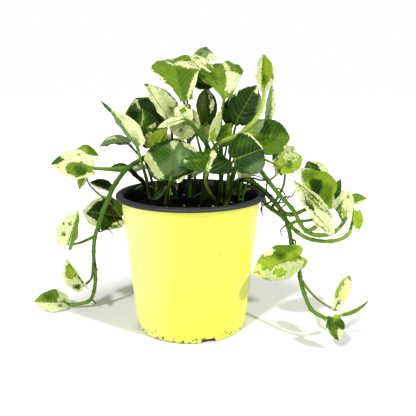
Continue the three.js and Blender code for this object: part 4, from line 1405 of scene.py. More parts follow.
leaf("leaf_crown_right",
     base=(33, -8, 235), tip=(24, 44, 268), width=48, faces=(0.05, -0.7, 0.7), arch=65,
     left=(10, 0, 10), right=(20, 5, 10), shoulder=(0.1, 0.35), widest=(0.45, 0.4), lobe=0,
     stalk=[(30, -3.8, 194), (30, -8, 217)], ground="mid",
     looks=[("moss", (0.9, 0.8), (1.2, 0.8), (1.2, 0.1), (0.8, 0.2)),
            ("cream", (1.0, 0.88), (0.72, 0.72), (0.5, 0.45), (0.95, 0.3), (1.05, 0.15), (0.5, 0),
             (0.0, 0), (0.25, 0.2), (0.3, 0.5), (0.6, 0.85)),
            ("lime", 0.2, 0.03, 0.35, 0.08, 0),
            ("cream", (-1.2, 0.75), (0.2, 1.05), (-0.45, 0.72), (-0.75, 0.6), (-1.2, 0.55)),
            ("mid", -1.0, 0.66, 0.14, 0.05, 20)])
leaf("leaf_crown_top",
     base=(17, 34, 284), tip=(12, 8, 272), width=32, faces=(0, -0.6, 0.8), arch=80, fullness=4,
     halves=(-25, -25, -30),
     stalk=[(18, 44, 210), (20, 54, 250), (19, 47, 271)], ground="sage", petiole=0.35, stout=0.8,
     looks=[("dark", 0.0, 1.0, 0.35, 0.1, 0), ("dark", -0.1, 0.45, 0.2, 0.06, 30),
            ("green", 0.3, 0.7, 0.16, 0.06, -20), ("cream", 1.0, 0.75, 0.42, 0.3, 0),
            ("cream", (-0.35, 0.6), (-0.7, 0.3), (-1.2, 0.3), (-1.2, 0.95), (-0.5, 0.85))])
extra_leaf("crown_fold",
           base=(19, -3, 263), tip=(-1, 12, 276), width=12, faces=(0.1, -0.8, 0.6), arch=25,
           halves=(15, 15, 10), stalk=[(24, -6, 254)], ground="cream", petiole=0.3,
           looks=[("mid", 0.2, 0.1, 0.5, 0.16, 0), ("pale", -0.4, 0.6, 0.2, 0.2, 0)])
leaf("leaf_upper_left",
     base=(-20, -3, 211), tip=(-44, -8, 250), width=34, faces=(0.2, -0.9, 0.3), arch=25,
     left=(60, 50, 10), right=(10, 20, 20), shoulder=0.5, lobe=0,
     stalk=[(-20, 20, 106), (-20, 20, 135), (-17, 14, 175), (-18, 4, 195)],
     ground="cream", petiole=0.12,
     looks=[("green", 1.0, 0.5, 0.09, 0.6, 0), ("green", 0, 1.02, 1.5, 0.1, 0),
            ("pale", 0.55, 0.64, 0.2, 0.06, 30), ("pale", 0.3, 0.3, 0.3, 0.22, 0),
            ("mid", 0.5, 0.28, 0.08, 0.07, 0), ("mid", 0.75, 0.05, 0.4, 0.08, 0)])
extra_leaf("shaded_leaf",
           base=(4, 10, 252), tip=(24, 10, 246), width=15, faces=(0, -1, 0.2),
           stalk=[(-2, 10, 199), (-3, 13, 225), (-1, 12, 244)], ground="green", petiole=0.1,
           looks=[("dark", 0.2, 0.6, 0.6, 0.4, 0), ("lime", -0.9, 0.3, 0.2, 0.3, 0)])
report("crown")

# %% [markdown]
# ## Leaves on the left
#
# Left of the middle the leaves stand up behind each other, dark ones next to cream ones. Farther out
# they hang on the long vine, and the lowest one lies on the table.

# %% Leaves that stand on the left
leaf("leaf_left_dark",
     base=(-35, 20, 200), tip=(-57, 28, 234), width=56, faces=(0, -0.9, 0.4), arch=15,
     left=(0, 0, 10), right=(56, 56, 10), shoulder=0.8, fullness=3.6,
     stalk=[(-26, 26, 106), (-26, 26, 135), (-28, 20, 180)], ground="green", petiole=0.02,
     looks=[("dark", (-0.7, 0.8), (-0.3, 0.78), (-0.12, 0.5), (-0.5, 0.3), (-0.9, 0.5)),
            ("dark", (0.08, 0.9), (0.8, 0.85), (0.85, 0.3), (0.5, 0.1), (0.15, 0.3)),
            ("mid", (-1.2, 0.3), (-0.9, 0.4), (-0.88, 0.8), (-0.7, 1.0), (-1.2, 1.0)),
            ("cream", (-0.8, 0.97), (-0.65, 0.86), (-0.2, 0.9), (-0.08, 0.66), (0.02, 0.7), (0.04, 0.88),
             (0.4, 0.9), (0.35, 0.99)),
            ("pale", 1.0, 0.55, 0.1, 0.3, 0)])
leaf("leaf_left_mottled",
     base=(-39, 4, 191), tip=(-48, 6, 225), width=30, faces=(0, -0.9, 0.5),
     halves=(20, 20, 10), stalk=[(-34, 18, 106), (-34, 18, 135), (-31, 12, 180)],
     ground="green", petiole=0.05,
     looks=[("mid", (-0.8, 0.6), (0.0, 1.0), (0.3, 0.95), (0.0, 0.6), (-0.4, 0.5)),
            ("cream", (-0.1, 0.98), (0.1, 0.98), (-0.25, 0.62), (-0.5, 0.58)),
            ("dark", 0.7, 0.6, 0.35, 0.2, 0), ("pale", -0.75, 0.5, 0.16, 0.06, 0),
            ("cream", 0.35, 0.48, 0.3, 0.04, 20), ("moss", 0.1, 0.4, 0.3, 0.05, 0),
            ("cream", (-0.9, 0.3), (-0.1, 0.34), (0.5, 0.28), (0.7, 0.05), (-0.5, -0.05)),
            ("green", 0.2, 0.22, 0.16, 0.03, 30), ("moss", -0.4, 0.18, 0.14, 0.035, 0),
            ("mid", 0.4, 0.1, 0.14, 0.03, 0), ("dark", 1.0, 0.25, 0.12, 0.1, 0)])
leaf("leaf_left_long",
     base=(-52, -14, 190), tip=(-79, -3, 225), width=27, faces=(0.3, -0.9, 0.3), arch=10,
     left=(60, 50, 10), right=(10, 10, 10), lobe=0.05,
     stalk=[(-42, 24, 106), (-43, 22, 130), (-45, 6, 152), (-47, -10, 168), (-50, -15, 181)],
     ground="cream", petiole=0.5, stout=1.3,
     looks=[("sage", (-1.2, -0.05), (-1.2, 1.0), (0.3, 1.0), (0.15, 0.7), (0.0, 0.4), (-0.1, 0.0)),
            ("dark", 0, 1.0, 1.2, 0.06, 0), ("pale", 0.5, 0.7, 0.2, 0.1, 0),
            ("pale", 0.3, 0.2, 0.3, 0.12, 0), ("sage", 0.15, 0.08, 0.2, 0.1, 0)])
extra_leaf("mouth_leaf",
           base=(-38, 13, 131), tip=(-25, 16, 144), width=8, faces=(0.3, -0.8, 0.3), arch=10,
           halves=(30, 30, 20), stalk=[(-42, 12, 128)], ground="cool",
           petiole=0.3, looks=[("dark", 0.5, 0.5, 0.4, 0.4, 0)])
extra_leaf("mouth_bud",
           base=(-21, 16, 137), tip=(-13, 18, 146), width=8, faces=(0.1, -0.9, 0.2), arch=10,
           halves=(20, 20, 20), stalk=[(-25, 16, 129)], ground="pale", petiole=0.3,
           looks=[("sage", 0.3, 0.2, 0.5, 0.2, 0)])
extra_leaf("hooked_tip",
           base=(-75, -4, 221), tip=(-87, -3, 233), width=5, faces=(0.2, -0.9, 0.3), arch=-50,
           halves=(30, 30, 10), stalk=[(-74, -3, 220)], ground="green",
           looks=[("dark", 0, 0.7, 1.0, 0.3, 0), ("pale", 0.8, 0.3, 0.4, 0.3, 0)])
extra_leaf("small_dark_leaf",
           base=(-63, -2, 166), tip=(-80, -2, 168), width=9, faces=(0, -0.6, 0.8), arch=40,
           stalk=[(-58, -7, 171)], ground="dark", looks=[("cool", 0, 0.4, 0.6, 0.4, 0)])
leaf("leaf_left_small",
     base=(-63, 8, 190), tip=(-92, 4, 187), width=26, faces=(0, -0.3, 0.95), arch=40,
     stalk=[(-38, 32, 106), (-39, 31, 135), (-46, 16, 168), (-53, 10, 178)],
     ground="sage", petiole=0.0,
     looks=[("dark", -0.95, 0.5, 0.45, 0.7, 0), ("cream", 0.7, 0.6, 0.2, 0.16, 0)])
report("standing left")

# %% Leaves on the long vine
leaf("leaf_far_left",
     base=(-99, -8, 168), tip=(-137, -16, 173), width=32, faces=(0, -0.8, 0.6), arch=25, fullness=3.4,
     halves=(5, 5, 10), stalk=[(-62, -9, 168), (-80, -8, 167)], ground="cream",
     looks=[("mid", (-0.2, 0.65), (0.2, 0.52), (0.25, 0.3), (0.12, 0.05), (-0.6, 0.0), (-0.85, 0.35),
             (-0.7, 0.6)),
            ("green", -0.3, 0.3, 0.35, 0.14, 0), ("cream", -0.75, 0.12, 0.25, 0.1, 0),
            ("green", (1.2, 1.0), (1.2, 0.85), (0.7, 0.75), (0.35, 0.65), (0.15, 0.8), (-0.3, 0.95)),
            ("mid", 0.75, 0.35, 0.08, 0.04, 30), ("mid", -0.5, 0.8, 0.12, 0.04, 0)])
leaf("leaf_far_left_rear",
     base=(-117, 10, 176), tip=(-93, 10, 177), width=26, faces=(0, -0.5, 0.85), arch=50,
     right=(10, 10, 30),
     stalk=[(-66, -9, 164.5), (-84, -2, 165), (-106, 8, 165), (-121, 11, 167), (-123, 10, 174)],
     ground="mid", looks=[("cream", 0.7, 0.75, 0.5, 0.4, 0), ("lime", -0.4, 0.3, 0.4, 0.25, 0)])
leaf("leaf_left_hanging",
     base=(-105, -2, 163), tip=(-112, -5, 145), width=12, faces=(-0.2, -1, 0.2), arch=12,
     halves=(25, 25, 10),
     stalk=[(-83.5, -5.5, 136), (-92, -2, 139), (-103, 2, 149), (-105.5, 2, 159)], ground="lime",
     looks=[("cream", -0.7, 0.5, 0.5, 0.6, 0)])
leaf("leaf_left_edge",
     base=(-84, 8, 143), tip=(-105, 15, 149), width=19, faces=(0, -0.35, 1), arch=25,
     stalk=[(-78, -8, 147), (-80, 1, 147)], ground="dark",
     looks=[("pale", -0.95, 0.5, 0.4, 0.6, 0)])
leaf("leaf_left_behind",
     base=(-76, 34, 107), tip=(-118, 34, 114), width=38, faces=(0, -0.9, 0.4), fullness=3.4,
     stalk=[(-87, -2, 127), (-84, 12, 128)], ground="dark",
     looks=[("cream", (-0.9, 1.0), (0.2, 0.82), (0.75, 0.68), (0.85, 0.52), (1.2, 0.6), (1.2, 1.05)),
            ("cream", (-0.35, 0.95), (-0.5, 0.65), (-0.95, 0.45), (-1.2, 0.3), (-1.2, 1.0)),
            ("cream", (-1.2, 0.3), (-0.5, 0.25), (-0.15, -0.05), (-1.2, -0.1)),
            ("mid", -0.75, 0.16, 0.14, 0.07, 20),
            ("mid", (0.95, 0.35), (1.2, 0), (0.15, -0.05), (0.1, 0.15)),
            ("green", 0.1, 0.45, 0.12, 0.2, 0), ("green", -0.4, 0.4, 0.3, 0.05, 20)])
report("long vine")

# %% Low leaves on the long vine
leaf("leaf_left_lower",
     base=(-129, 8, 84), tip=(-118, 14, 120), width=31, faces=(0, -1, 0), arch=15,
     left=(5, 5, 10), right=(52, 52, 10), stalk=[(-101, 11, 92), (-117, 10, 85)], ground="cream",
     looks=[("mid", 0.75, 0.5, 0.65, 0.65, 0), ("mid", -0.5, 0.3, 0.14, 0.05, 20),
            ("mid", -0.3, 0.6, 0.1, 0.05, 0), ("green", -0.75, 0.55, 0.08, 0.04, 0)])
leaf("leaf_left_lower_small",
     base=(-117, 20, 34), tip=(-134, 18, 66), width=31, faces=(0, -1, 0.2), arch=15,
     left=(5, 5, 15), right=(60, 60, 15), stalk=[(-105, 20, 63), (-109, 23, 41)], ground="cream",
     looks=[("lime", -0.3, 0.6, 0.5, 0.2, 0), ("green", 0.3, 0.3, 0.35, 0.14, 10),
            ("green", -0.5, 0.15, 0.3, 0.08, 0), ("lime", 0.5, 0.75, 0.3, 0.12, 0)])
leaf("leaf_left_bottom",
     base=(-143, 38, 7), tip=(-177, 34, 10), width=30, faces=(0, -0.65, 0.75),
     right=(0, 0, 10), stalk=[(-136, 38, 4), (-139.5, 38, 5)], ground="cream",
     looks=[("mid", (-0.3, 1.05), (1.2, 0.9), (1.2, 0.32), (-0.08, 0.25), (-0.15, 0.6)),
            ("moss", 0.4, 0.55, 0.35, 0.14, 0), ("lime", 0.2, 0.1, 0.16, 0.06, 0),
            ("mid", -0.4, 0.2, 0.12, 0.05, 0)])
report("low on the long vine")

# %% [markdown]
# ## Leaves over the front
#
# Three broad leaves lean out over the rim at the front and hide the stems behind them. They are the
# darkest greens, because they are old, and their gray sheen is painted sheen of the light from above.

# %% Front leaves
leaf("leaf_front_left",
     base=(-19, -40, 162), tip=(-12, -6, 197), width=55, faces=(0, -1, 0.7), arch=15,
     halves=(5, 5, 10), shoulder=(0.7, 0.45), lobe=0.08, fullness=3.4,
     stalk=[(-24, -6, 106), (-25, -8, 128), (-23, -22, 143)], ground="dark", petiole=0.4, stout=1.2,
     looks=[("cool", 0, 0.5, 0.7, 0.42, 0), ("green", -0.5, 0.5, 0.3, 0.22, -20),
            ("sage", 0.3, 0.52, 0.2, 0.2, 15), ("dark", 0.6, 0.34, 0.35, 0.12, 10),
            ("cool", 0.35, 0.6, 0.1, 0.1, 0), ("dark", 0.85, 0.6, 0.14, 0.12, 0),
            ("olive", (-1.1, 0.4), (-0.9, 0.45), (-0.65, 0.32), (-0.42, 0.18), (-0.3, 0.05),
             (-0.62, 0.04), (-0.9, 0.12)),
            ("pale", (-0.5, 0.82), (-0.6, 1.0), (0.3, 1.0), (-0.02, 0.8), (-0.1, 0.66), (-0.28, 0.74)),
            ("pale", (0.5, 0.9), (1.2, 0.85), (1.2, 0.62), (0.8, 0.66), (0.5, 0.78)),
            ("cream", (1.2, 0.5), (0.94, 0.4), (0.88, 0.15), (0.4, 0.03), (0.6, -0.05), (1.2, 0.1)),
            ("dark", (-1.2, 0.12), (-0.85, 0.02), (-0.35, -0.02), (-0.75, -0.1), (-1.2, -0.05))])
leaf("leaf_front_centre",
     base=(15, -50, 170), tip=(23, -20, 187), width=56, faces=(0, -0.5, 0.8), arch=40,
     shoulder=0.85, widest=0.12, lobe=0.05, fullness=1.0,
     stalk=[(26, -10, 106), (26, -14, 129), (20, -32, 144), (14, -44, 159)], ground="dark",
     looks=[("green", (-1.2, -0.05), (-1.2, 0.9), (0, 1), (0, -0.05)),
            ("mid", -0.6, 0.3, 0.16, 0.04, 20), ("pale", -0.85, 0.15, 0.06, 0.04, 0),
            ("moss", -0.35, 0.55, 0.1, 0.06, 0),
            ("cream", (-0.4, 0.95), (0.5, 1.0), (0.5, 0.7), (0.2, 0.4), (0.06, 0), (-0.06, 0.02),
             (-0.05, 0.5))])
leaf("leaf_front_right",
     base=(41, -50, 182), tip=(69, -35, 190), width=40, faces=(0, -1, 0.3), arch=15,
     halves=(5, 5, 10), fullness=4.5,
     stalk=[(36, -17, 140), (37, -34, 170)], ground="dark",
     looks=[("green", -0.55, 0.5, 0.2, 0.25, 0), ("cool", 0.8, 0.5, 0.3, 0.3, 0),
            ("cream", (-1.2, 0.45), (-0.9, 0.6), (-0.8, 0.8), (-0.4, 0.94), (0.2, 0.96), (0.3, 1.1),
             (-1.2, 1.1)),
            ("dark", 0, 0.4, 0.1, 0.5, 0)])
leaf("leaf_front_right_under",
     base=(58, -28, 176), tip=(45, -38, 163), width=22, faces=(0, -1, 0.3), arch=15,
     halves=(5, 5, 10), stalk=[(54, -18, 176), (58, -23, 178)], ground="pale",
     looks=[("green", 0.5, 0.3, 0.2, 0.15, 0)])
report("front")

# %% [markdown]
# ## Leaves on the right
#
# Behind the front leaves stand dark ribbed ones. Right of them a pale shoot carries the newest leaf,
# still half rolled, and small leaves sit on the arching vines beyond the rim.

# %% Leaves right of the middle
leaf("leaf_right_green",
     base=(63, -2, 194), tip=(101, 4, 196), width=37, faces=(0, -0.9, 0.4), fullness=4.5,
     stalk=[(50, 10, 106), (50, 10, 135), (54, 6, 175)], ground="moss", petiole=0.25,
     looks=[("green", (-1.2, 0.1), (-0.2, 0.3), (-0.3, 0.9), (-1.2, 1.0)),
            ("dark", -0.6, 0.35, 0.3, 0.14, 0), ("pale", 0.95, 0.85, 0.2, 0.12, 0)])
leaf("leaf_right_dark",
     base=(47, -4, 216), tip=(66, 2, 248), width=34, faces=(0, -0.9, 0.3),
     stalk=[(38, 20, 106), (38, 20, 135), (42, 4, 190)], ground="dark", petiole=0.3,
     looks=[("cream", -1.02, 0.65, 0.11, 0.32, 0), ("cream", 0.5, 0.88, 0.3, 0.09, 10),
            ("sage", 1.0, 0.55, 0.22, 0.3, 0)])
leaf("leaf_right_dark_low",
     base=(43, 6, 210), tip=(40, 10, 237), width=22, faces=(-0.3, -0.9, 0.3),
     stalk=[(30, 24, 106), (30, 24, 135), (38, 14, 190)], ground="dark", petiole=0.2,
     looks=[("sage", 0.3, 0.4, 0.16, 0.3, 0)])
extra_leaf("young_leaf",
           base=(69, -30, 239), tip=(68, -28, 277), width=27, faces=(0, -1, 0.1), arch=8,
           halves=(35, 35, 40), shoulder=0.25, widest=0.45, lobe=0, fullness=5,
           stalk=[(68.5, -30, 232), (69, -30, 236)], ground="cream", petiole=0.95,
           looks=[("lime", (-0.1, 1.05), (1.2, 1.0), (1.2, 0.45), (0.6, 0.4), (0.45, 0.25),
                   (0.1, 0.1), (-0.4, 0.3), (-0.3, 0.5), (-0.15, 0.75)),
                  ("mid", (-0.15, 0.5), (0.35, 0.48), (0.45, 0.35), (0.2, 0.2), (-0.2, 0.3)),
                  ("moss", 0.1, 0.4, 0.1, 0.07, 0), ("lime", 0.85, 0.7, 0.3, 0.2, 0)])
leaf("leaf_right_back",
     base=(78, 8, 214), tip=(82, 12, 249), width=12, faces=(0.3, -0.9, 0.2), arch=15,
     halves=(20, 20, 10),
     stalk=[(52, 22, 106), (52, 22, 135), (66, 22, 180), (75, 14, 203)], ground="sage", petiole=0.3,
     looks=[("cream", 0.7, 0.5, 0.35, 0.5, 0)])
leaf("leaf_right_sheath",
     base=(54, -12, 203), tip=(73, -12, 216), width=16, faces=(0, -0.9, -0.3), arch=15,
     stalk=[(44, -21, 201), (49, -15, 201)], ground="sage",
     looks=[("lime", 0, 0.1, 1.0, 0.3, 0)])
report("right of the middle")

# %% Small leaves in the middle
leaf("leaf_centre_cream",
     base=(-9, -16, 216), tip=(0, -17, 231), width=20, faces=(0, -1, 0.2), arch=15,
     stalk=[(1, -21, 212), (-5, -17.5, 212.5)], ground="cream",
     looks=[("mid", -0.3, 0.5, 0.3, 0.18, 0), ("dark", 0, 0.9, 1.0, 0.13, 0)])
leaf("leaf_centre_hanging",
     base=(-5, -12.5, 223), tip=(-8, -12.5, 194), width=33, faces=(0, -1, 0.1), arch=10,
     stalk=[(-2, 10.8, 192), (-6, 3, 208), (-7, -6, 219)], ground="olive",
     looks=[("cream", 0.3, 0.05, 0.5, 0.1, 0), ("olive", 0.5, 0.4, 0.25, 0.3, 0),
            ("green", 0.2, 0.6, 0.1, 0.12, 0)])
leaf("leaf_centre_dark",
     base=(17, 12, 211), tip=(16, 18, 244), width=22, faces=(0, -0.95, 0.2), arch=15, fullness=5,
     halves=(20, 20, 10), stalk=[(-2, 11, 190), (8, 10, 202)], ground="dark",
     looks=[("moss", (-1.2, 0.05), (-1.2, 1.0), (0.1, 1.0), (0.2, 0.6), (0.0, 0.05)),
            ("sage", -0.4, 0.6, 0.3, 0.25, 0),
            ("cream", (0.3, 0.95), (0.8, 0.9), (0.7, 0.5), (0.4, 0.3), (0.3, 0.6)),
            ("green", 0.55, 0.75, 0.08, 0.14, 0)])
extra_leaf("bright_green_leaf",
           base=(27, -8, 194), tip=(41, -8, 212), width=17, faces=(0, -1, 0.2), arch=15,
           stalk=[(30, -4, 188)], ground="mid", looks=[("green", -0.4, 0.4, 0.3, 0.3, 0)])
extra_leaf("narrow_cream_leaf",
           base=(-9, -20, 216), tip=(-32, -21, 208), width=9, faces=(0, -0.8, 0.6), arch=25,
           stalk=[(-4, -20, 217)], ground="cream", looks=[("pale", -0.3, 0.5, 0.6, 0.2, 0)])
extra_leaf("gray_green_leaf",
           base=(15, -4, 194), tip=(18, -4, 210), width=12, faces=(0, -1, 0.1), arch=15,
           stalk=[(16, -8, 186)], ground="sage", looks=[("dark", 0.6, 0.5, 0.3, 0.4, 0)])
extra_leaf("curled_leaf",
           base=(44, 14, 136), tip=(63, 17, 141), width=13, faces=(0, -0.7, 0.7), arch=-70,
           halves=(30, 30, 40), stalk=[(40, 12, 129), (41, 12, 133)], ground="sage",
           looks=[("cream", 0.6, 0.6, 0.4, 0.3, 0), ("dark", -0.5, 0.4, 0.4, 0.2, 0)])
leaf("leaf_centre_sheath",
     base=(21, -20, 197), tip=(30, -19, 226), width=11, faces=(-0.3, -1, 0.1), arch=10,
     halves=(20, 20, 10), stalk=[(25.5, -10, 190), (22, -18, 193)], ground="pale",
     looks=[("lime", 0, 0.15, 0.8, 0.2, 0)])
leaf("leaf_inner_green",
     base=(-38, -2, 187), tip=(-22, -4, 207), width=18, faces=(-0.1, -0.9, 0.3), arch=15,
     halves=(20, 20, 10), stalk=[(-28, 3, 166), (-33, 0, 178)], ground="lime",
     looks=[("green", 0.6, 0.6, 0.2, 0.2, 0)])
report("middle")

# %% Leaves beyond the rim on the right
leaf("leaf_right_pair",
     base=(90, -14, 168), tip=(111.5, -10, 179), width=23, faces=(0, -0.9, 0.4), fullness=3.4,
     stalk=[(49, -18, 173), (60, -4, 176), (71, -6, 176), (82, -11, 172)], ground="lime",
     looks=[("pale", -0.4, 0.6, 0.5, 0.3, 0), ("lime", -0.3, 0.62, 0.2, 0.14, 0),
            ("moss", (-0.3, 0.45), (0.05, 0.5), (0.5, 0.4), (0.3, 0.2), (-0.1, 0.25)),
            ("cream", (0.9, 0.9), (1.2, 0.9), (1.2, 0.2), (0.95, 0.3))])
leaf("leaf_right_strip",
     base=(88, -6, 162), tip=(84, 0, 190), width=14, faces=(0.5, -0.9, 0.2), arch=15,
     stalk=[(54, 8, 106), (54, 8, 135), (62, 6, 153), (71, 0, 153), (81, -6, 155)], ground="cream",
     looks=[("mid", 0.1, 0.4, 0.16, 0.4, 10),
            ("cool", (-1.2, 1.0), (0.2, 1.0), (0.3, 0.6), (-1.2, 0.4))])
leaf("leaf_right_pair_back",
     base=(94, 8, 168), tip=(108, 16, 186), width=24, faces=(0, -0.9, 0.4),
     stalk=[(84, 9, 121), (91, 8, 134), (96, 7, 146), (97, 7, 158)], ground="cream",
     looks=[("mid", 0.6, 0.2, 0.2, 0.12, 0)])
leaf("leaf_right_cup",
     base=(131, -24, 125), tip=(107, -22, 169), width=54, faces=(0.1, -0.95, 0.2), arch=25,
     left=(25, 25, 70), right=(5, 10, 50), shoulder=0.35, widest=0.55, lobe=0, fullness=3.6,
     stalk=[(98.5, -18, 109), (104, -22, 114.5), (114, -24, 116), (124, -24, 118)], ground="lime",
     looks=[("mid", 0.5, 0.3, 0.3, 0.2, 10), ("mid", 0.1, 0.8, 0.5, 0.08, 0),
            ("dark", (0.06, 0.68), (0.3, 0.7), (0.5, 0.6), (0.35, 0.45), (0.06, 0.32), (-0.16, 0.42)),
            ("cream", (-0.4, 0.92), (0.5, 0.93), (1.2, 0.85), (1.2, 1.1), (-0.4, 1.1)),
            ("cream", (-0.25, -0.05), (-0.12, 0.3), (-0.3, 0.7), (-0.3, 1.05), (-1.2, 1.05),
             (-1.2, -0.05)),
            ("mid", -0.6, 0.5, 0.22, 0.12, 0), ("green", -0.75, 0.3, 0.12, 0.06, 0),
            ("lime", -0.5, 0.85, 0.16, 0.07, 20)])
leaf("leaf_right_cup_back",
     base=(131, -6, 150), tip=(119, 2, 172), width=27, faces=(0.1, -0.95, 0.2), fullness=4,
     stalk=[(117, -19.5, 128), (124, -10, 134)], ground="dark",
     looks=[("green", -0.2, 0.7, 0.6, 0.25, 0),
            ("cream", (0.6, 0.95), (0.5, 0.5), (0.7, 0), (1.2, 0), (1.2, 1.0))])
extra_leaf("cup_fold",
           base=(130, -40, 125), tip=(97, -40, 161), width=20, faces=(-0.2, -0.9, 0.2), arch=15,
           left=(10, 10, 10), right=(25, 25, 20), stalk=[(124, -24, 118), (129, -34, 119)],
           ground="cream",
           looks=[("mid", 0.55, 0.55, 0.14, 0.3, 0), ("lime", 0.2, 0.4, 0.12, 0.3, 0),
                  ("green", (-0.25, 0.62), (-0.75, 0.5), (-0.7, 0.32), (-0.3, 0.3)),
                  ("lime", 0.5, 0.85, 0.3, 0.08, 0), ("pale", -0.6, 0.8, 0.3, 0.06, 0)])
report("beyond the rim")

# %% Small leaves beyond the rim
extra_leaf("small_bud_leaf",
           base=(93, -10, 164), tip=(104, -8, 171), width=7, faces=(0, -0.9, 0.4),
           stalk=[(90, -12, 160)], ground="cream", looks=[("green", 0, 0.6, 0.5, 0.3, 0)])
extra_leaf("small_green_leaf",
           base=(142, -10, 136), tip=(151, -10, 156), width=12, faces=(0, -0.9, 0.3),
           stalk=[(148, -14, 124), (144, -11, 130)], ground="green",
           looks=[("cream", -1.0, 0.6, 0.3, 0.4, 0)])
leaf("leaf_right_cream",
     base=(148, -14, 126), tip=(163, -2, 142), width=24, faces=(0, -0.9, 0.4),
     stalk=[(154, -18.4, 113), (151, -16, 119)], ground="cream",
     looks=[("mid", 0.4, 0.1, 0.5, 0.14, 0), ("mid", 0.3, 0.7, 0.12, 0.1, 0)])
leaf("leaf_right_tip",
     base=(164, -5, 131), tip=(181, -3, 134), width=16, faces=(0, -0.6, 0.8),
     stalk=[(163.4, -12.4, 105.6), (167, -6, 118)], ground="mid",
     looks=[("cream", 0.8, 0.5, 0.4, 0.6, 0)])
leaf("leaf_right_fold",
     base=(154, -26, 121), tip=(154, -26, 139), width=13, faces=(0.2, -0.95, 0.2), arch=15,
     stalk=[(150, -20, 108), (153, -25, 114)], ground="cream",
     looks=[("lime", -0.6, 0.3, 0.4, 0.25, 0)])
leaf("leaf_right_hanging",
     base=(165, -25, 125), tip=(166.5, -26, 104), width=12, faces=(0.2, -0.95, 0.2), arch=12,
     stalk=[(162.3, -13.6, 103), (164.5, -18.5, 115), (165, -22, 121.5)], ground="lime",
     looks=[("cream", 0, 0.95, 1.0, 0.18, 0)])
leaf("leaf_right_low_cream",
     base=(119, -44, 128), tip=(138, -50, 107), width=17, faces=(0.1, -0.95, 0.4),
     stalk=[(125.5, -30.3, 113), (123, -38, 121)], ground="cream",
     looks=[("mid", 0.7, 0.4, 0.14, 0.35, 10), ("mid", 0.3, 0.7, 0.1, 0.16, 0)])
report("small, beyond the rim")

# %% [markdown]
# ## Leaves beside the pot
#
# A broad pale leaf presses against the pot, and two narrow young ones end the right vine just above
# the table.

# %% Low leaves
leaf("leaf_pot_side",
     base=(109, -25, 79), tip=(62, -22, 60), width=36, faces=(0, -0.85, 0.5), arch=15, fullness=3.6,
     stalk=[(109.6, -21.5, 69), (111, -26, 75)], ground="lime",
     looks=[("mid", 0.7, 0.3, 0.3, 0.25, 10), ("pale", -0.6, 0.4, 0.55, 0.35, 0),
            ("lime", -0.5, 0.5, 0.3, 0.12, 0),
            ("moss", (0.62, 0.48), (0.6, 0.38), (0.35, 0.28), (0.08, 0.34), (0.25, 0.46)),
            ("green", 0.4, 0.38, 0.1, 0.04, 0), ("pale", -0.4, 0.75, 0.4, 0.1, 0),
            ("butter", 0, 0.98, 1.2, 0.2, 0), ("cream", 0.85, 0.55, 0.2, 0.12, 0),
            ("moss", 0.1, 0.92, 0.2, 0.025, 30), ("green", -0.3, 0.86, 0.16, 0.02, 0)])
leaf("leaf_right_narrow",
     base=(140, -56, 34), tip=(154, -51, 68), width=15, faces=(0.25, -0.9, 0.3), arch=-12,
     shoulder=0.6, widest=0.6, lobe=0, fullness=7,
     stalk=[(110.5, -25, 57), (117, -36, 48), (127, -48, 40)], ground="cream",
     looks=[("lime", (-1.2, 0.25), (-0.45, 0.35), (-0.3, 0.7), (-0.5, 0.9), (-1.2, 0.9)),
            ("lime", (-1.2, 0.9), (0.3, 0.93), (1.2, 0.85), (1.2, 1.1), (-1.2, 1.1)),
            ("butter", 0.4, 0.45, 0.3, 0.2, 0), ("dark", 0.3, 0.22, 0.22, 0.045, 30)])
leaf("leaf_right_bottom",
     base=(135, -68, 31), tip=(140, -77, 11), width=19, faces=(0, -0.95, 0.3),
     stalk=[(134.5, -60, 24.3), (135, -64, 27.5)], ground="green",
     looks=[("lime", -0.5, 0.0, 0.5, 0.2, 0), ("moss", 0.4, 0.6, 0.4, 0.2, 0),
            ("cream", (-0.15, 0.5), (-1.2, 0.6), (-1.2, 1.05), (0, 1.05)),
            ("cream", 0.98, 0.5, 0.12, 0.5, 0)])
extra_leaf("rolled_leaf",
           base=(148, -62, 31), tip=(170, -62, 46), width=8, faces=(-0.4, -0.5, 0.8), arch=-95,
           halves=(50, 50, 30), stalk=[(134, -60, 24.4), (140, -60, 29)],
           ground="lime", petiole=0.8, looks=[("green", 0.6, 0.5, 0.3, 0.5, 0)])
report("low")

# %% [markdown]
# ## Leaves at the back
#
# The photograph doesn't show the far side, but a plant turns leaves to the light all round. These
# are guessed: their places are the CAD model's, and their cut-outs are drawn by chance from the
# leaf's own name, so they are the same in each run.

# %% Back leaves
leaf("leaf_back_left",
     base=(-28, 46, 190), tip=(-54, 70, 200), width=40, faces=(-0.2, 0.6, 0.8), arch=40,
     stalk=[(-20, 40, 106), (-20, 40, 135), (-22, 42, 165)], petiole=0.1)
leaf("leaf_back_centre",
     base=(6, 58, 196), tip=(2, 98, 206), width=44, faces=(0, 0.3, 0.95), arch=50,
     stalk=[(16, 41.5, 160), (10, 50, 180)])
leaf("leaf_back_right",
     base=(42, 46, 184), tip=(70, 70, 190), width=42, faces=(0.2, 0.5, 0.85), arch=45,
     stalk=[(17, 42, 170), (30, 42, 180)], ground="green")
leaf("leaf_back_low",
     base=(8, 70, 158), tip=(2, 104, 136), width=42, faces=(0, 0.7, 0.7), arch=30,
     stalk=[(4, 50, 106), (4, 50, 135), (6, 60, 154)], petiole=0.1)
leaf("leaf_back_low_left",
     base=(-42, 58, 156), tip=(-66, 86, 146), width=36, faces=(-0.3, 0.6, 0.8), arch=30,
     stalk=[(-30, 44, 106), (-30, 44, 135), (-36, 52, 152)], ground="green", petiole=0.1)
report("back")
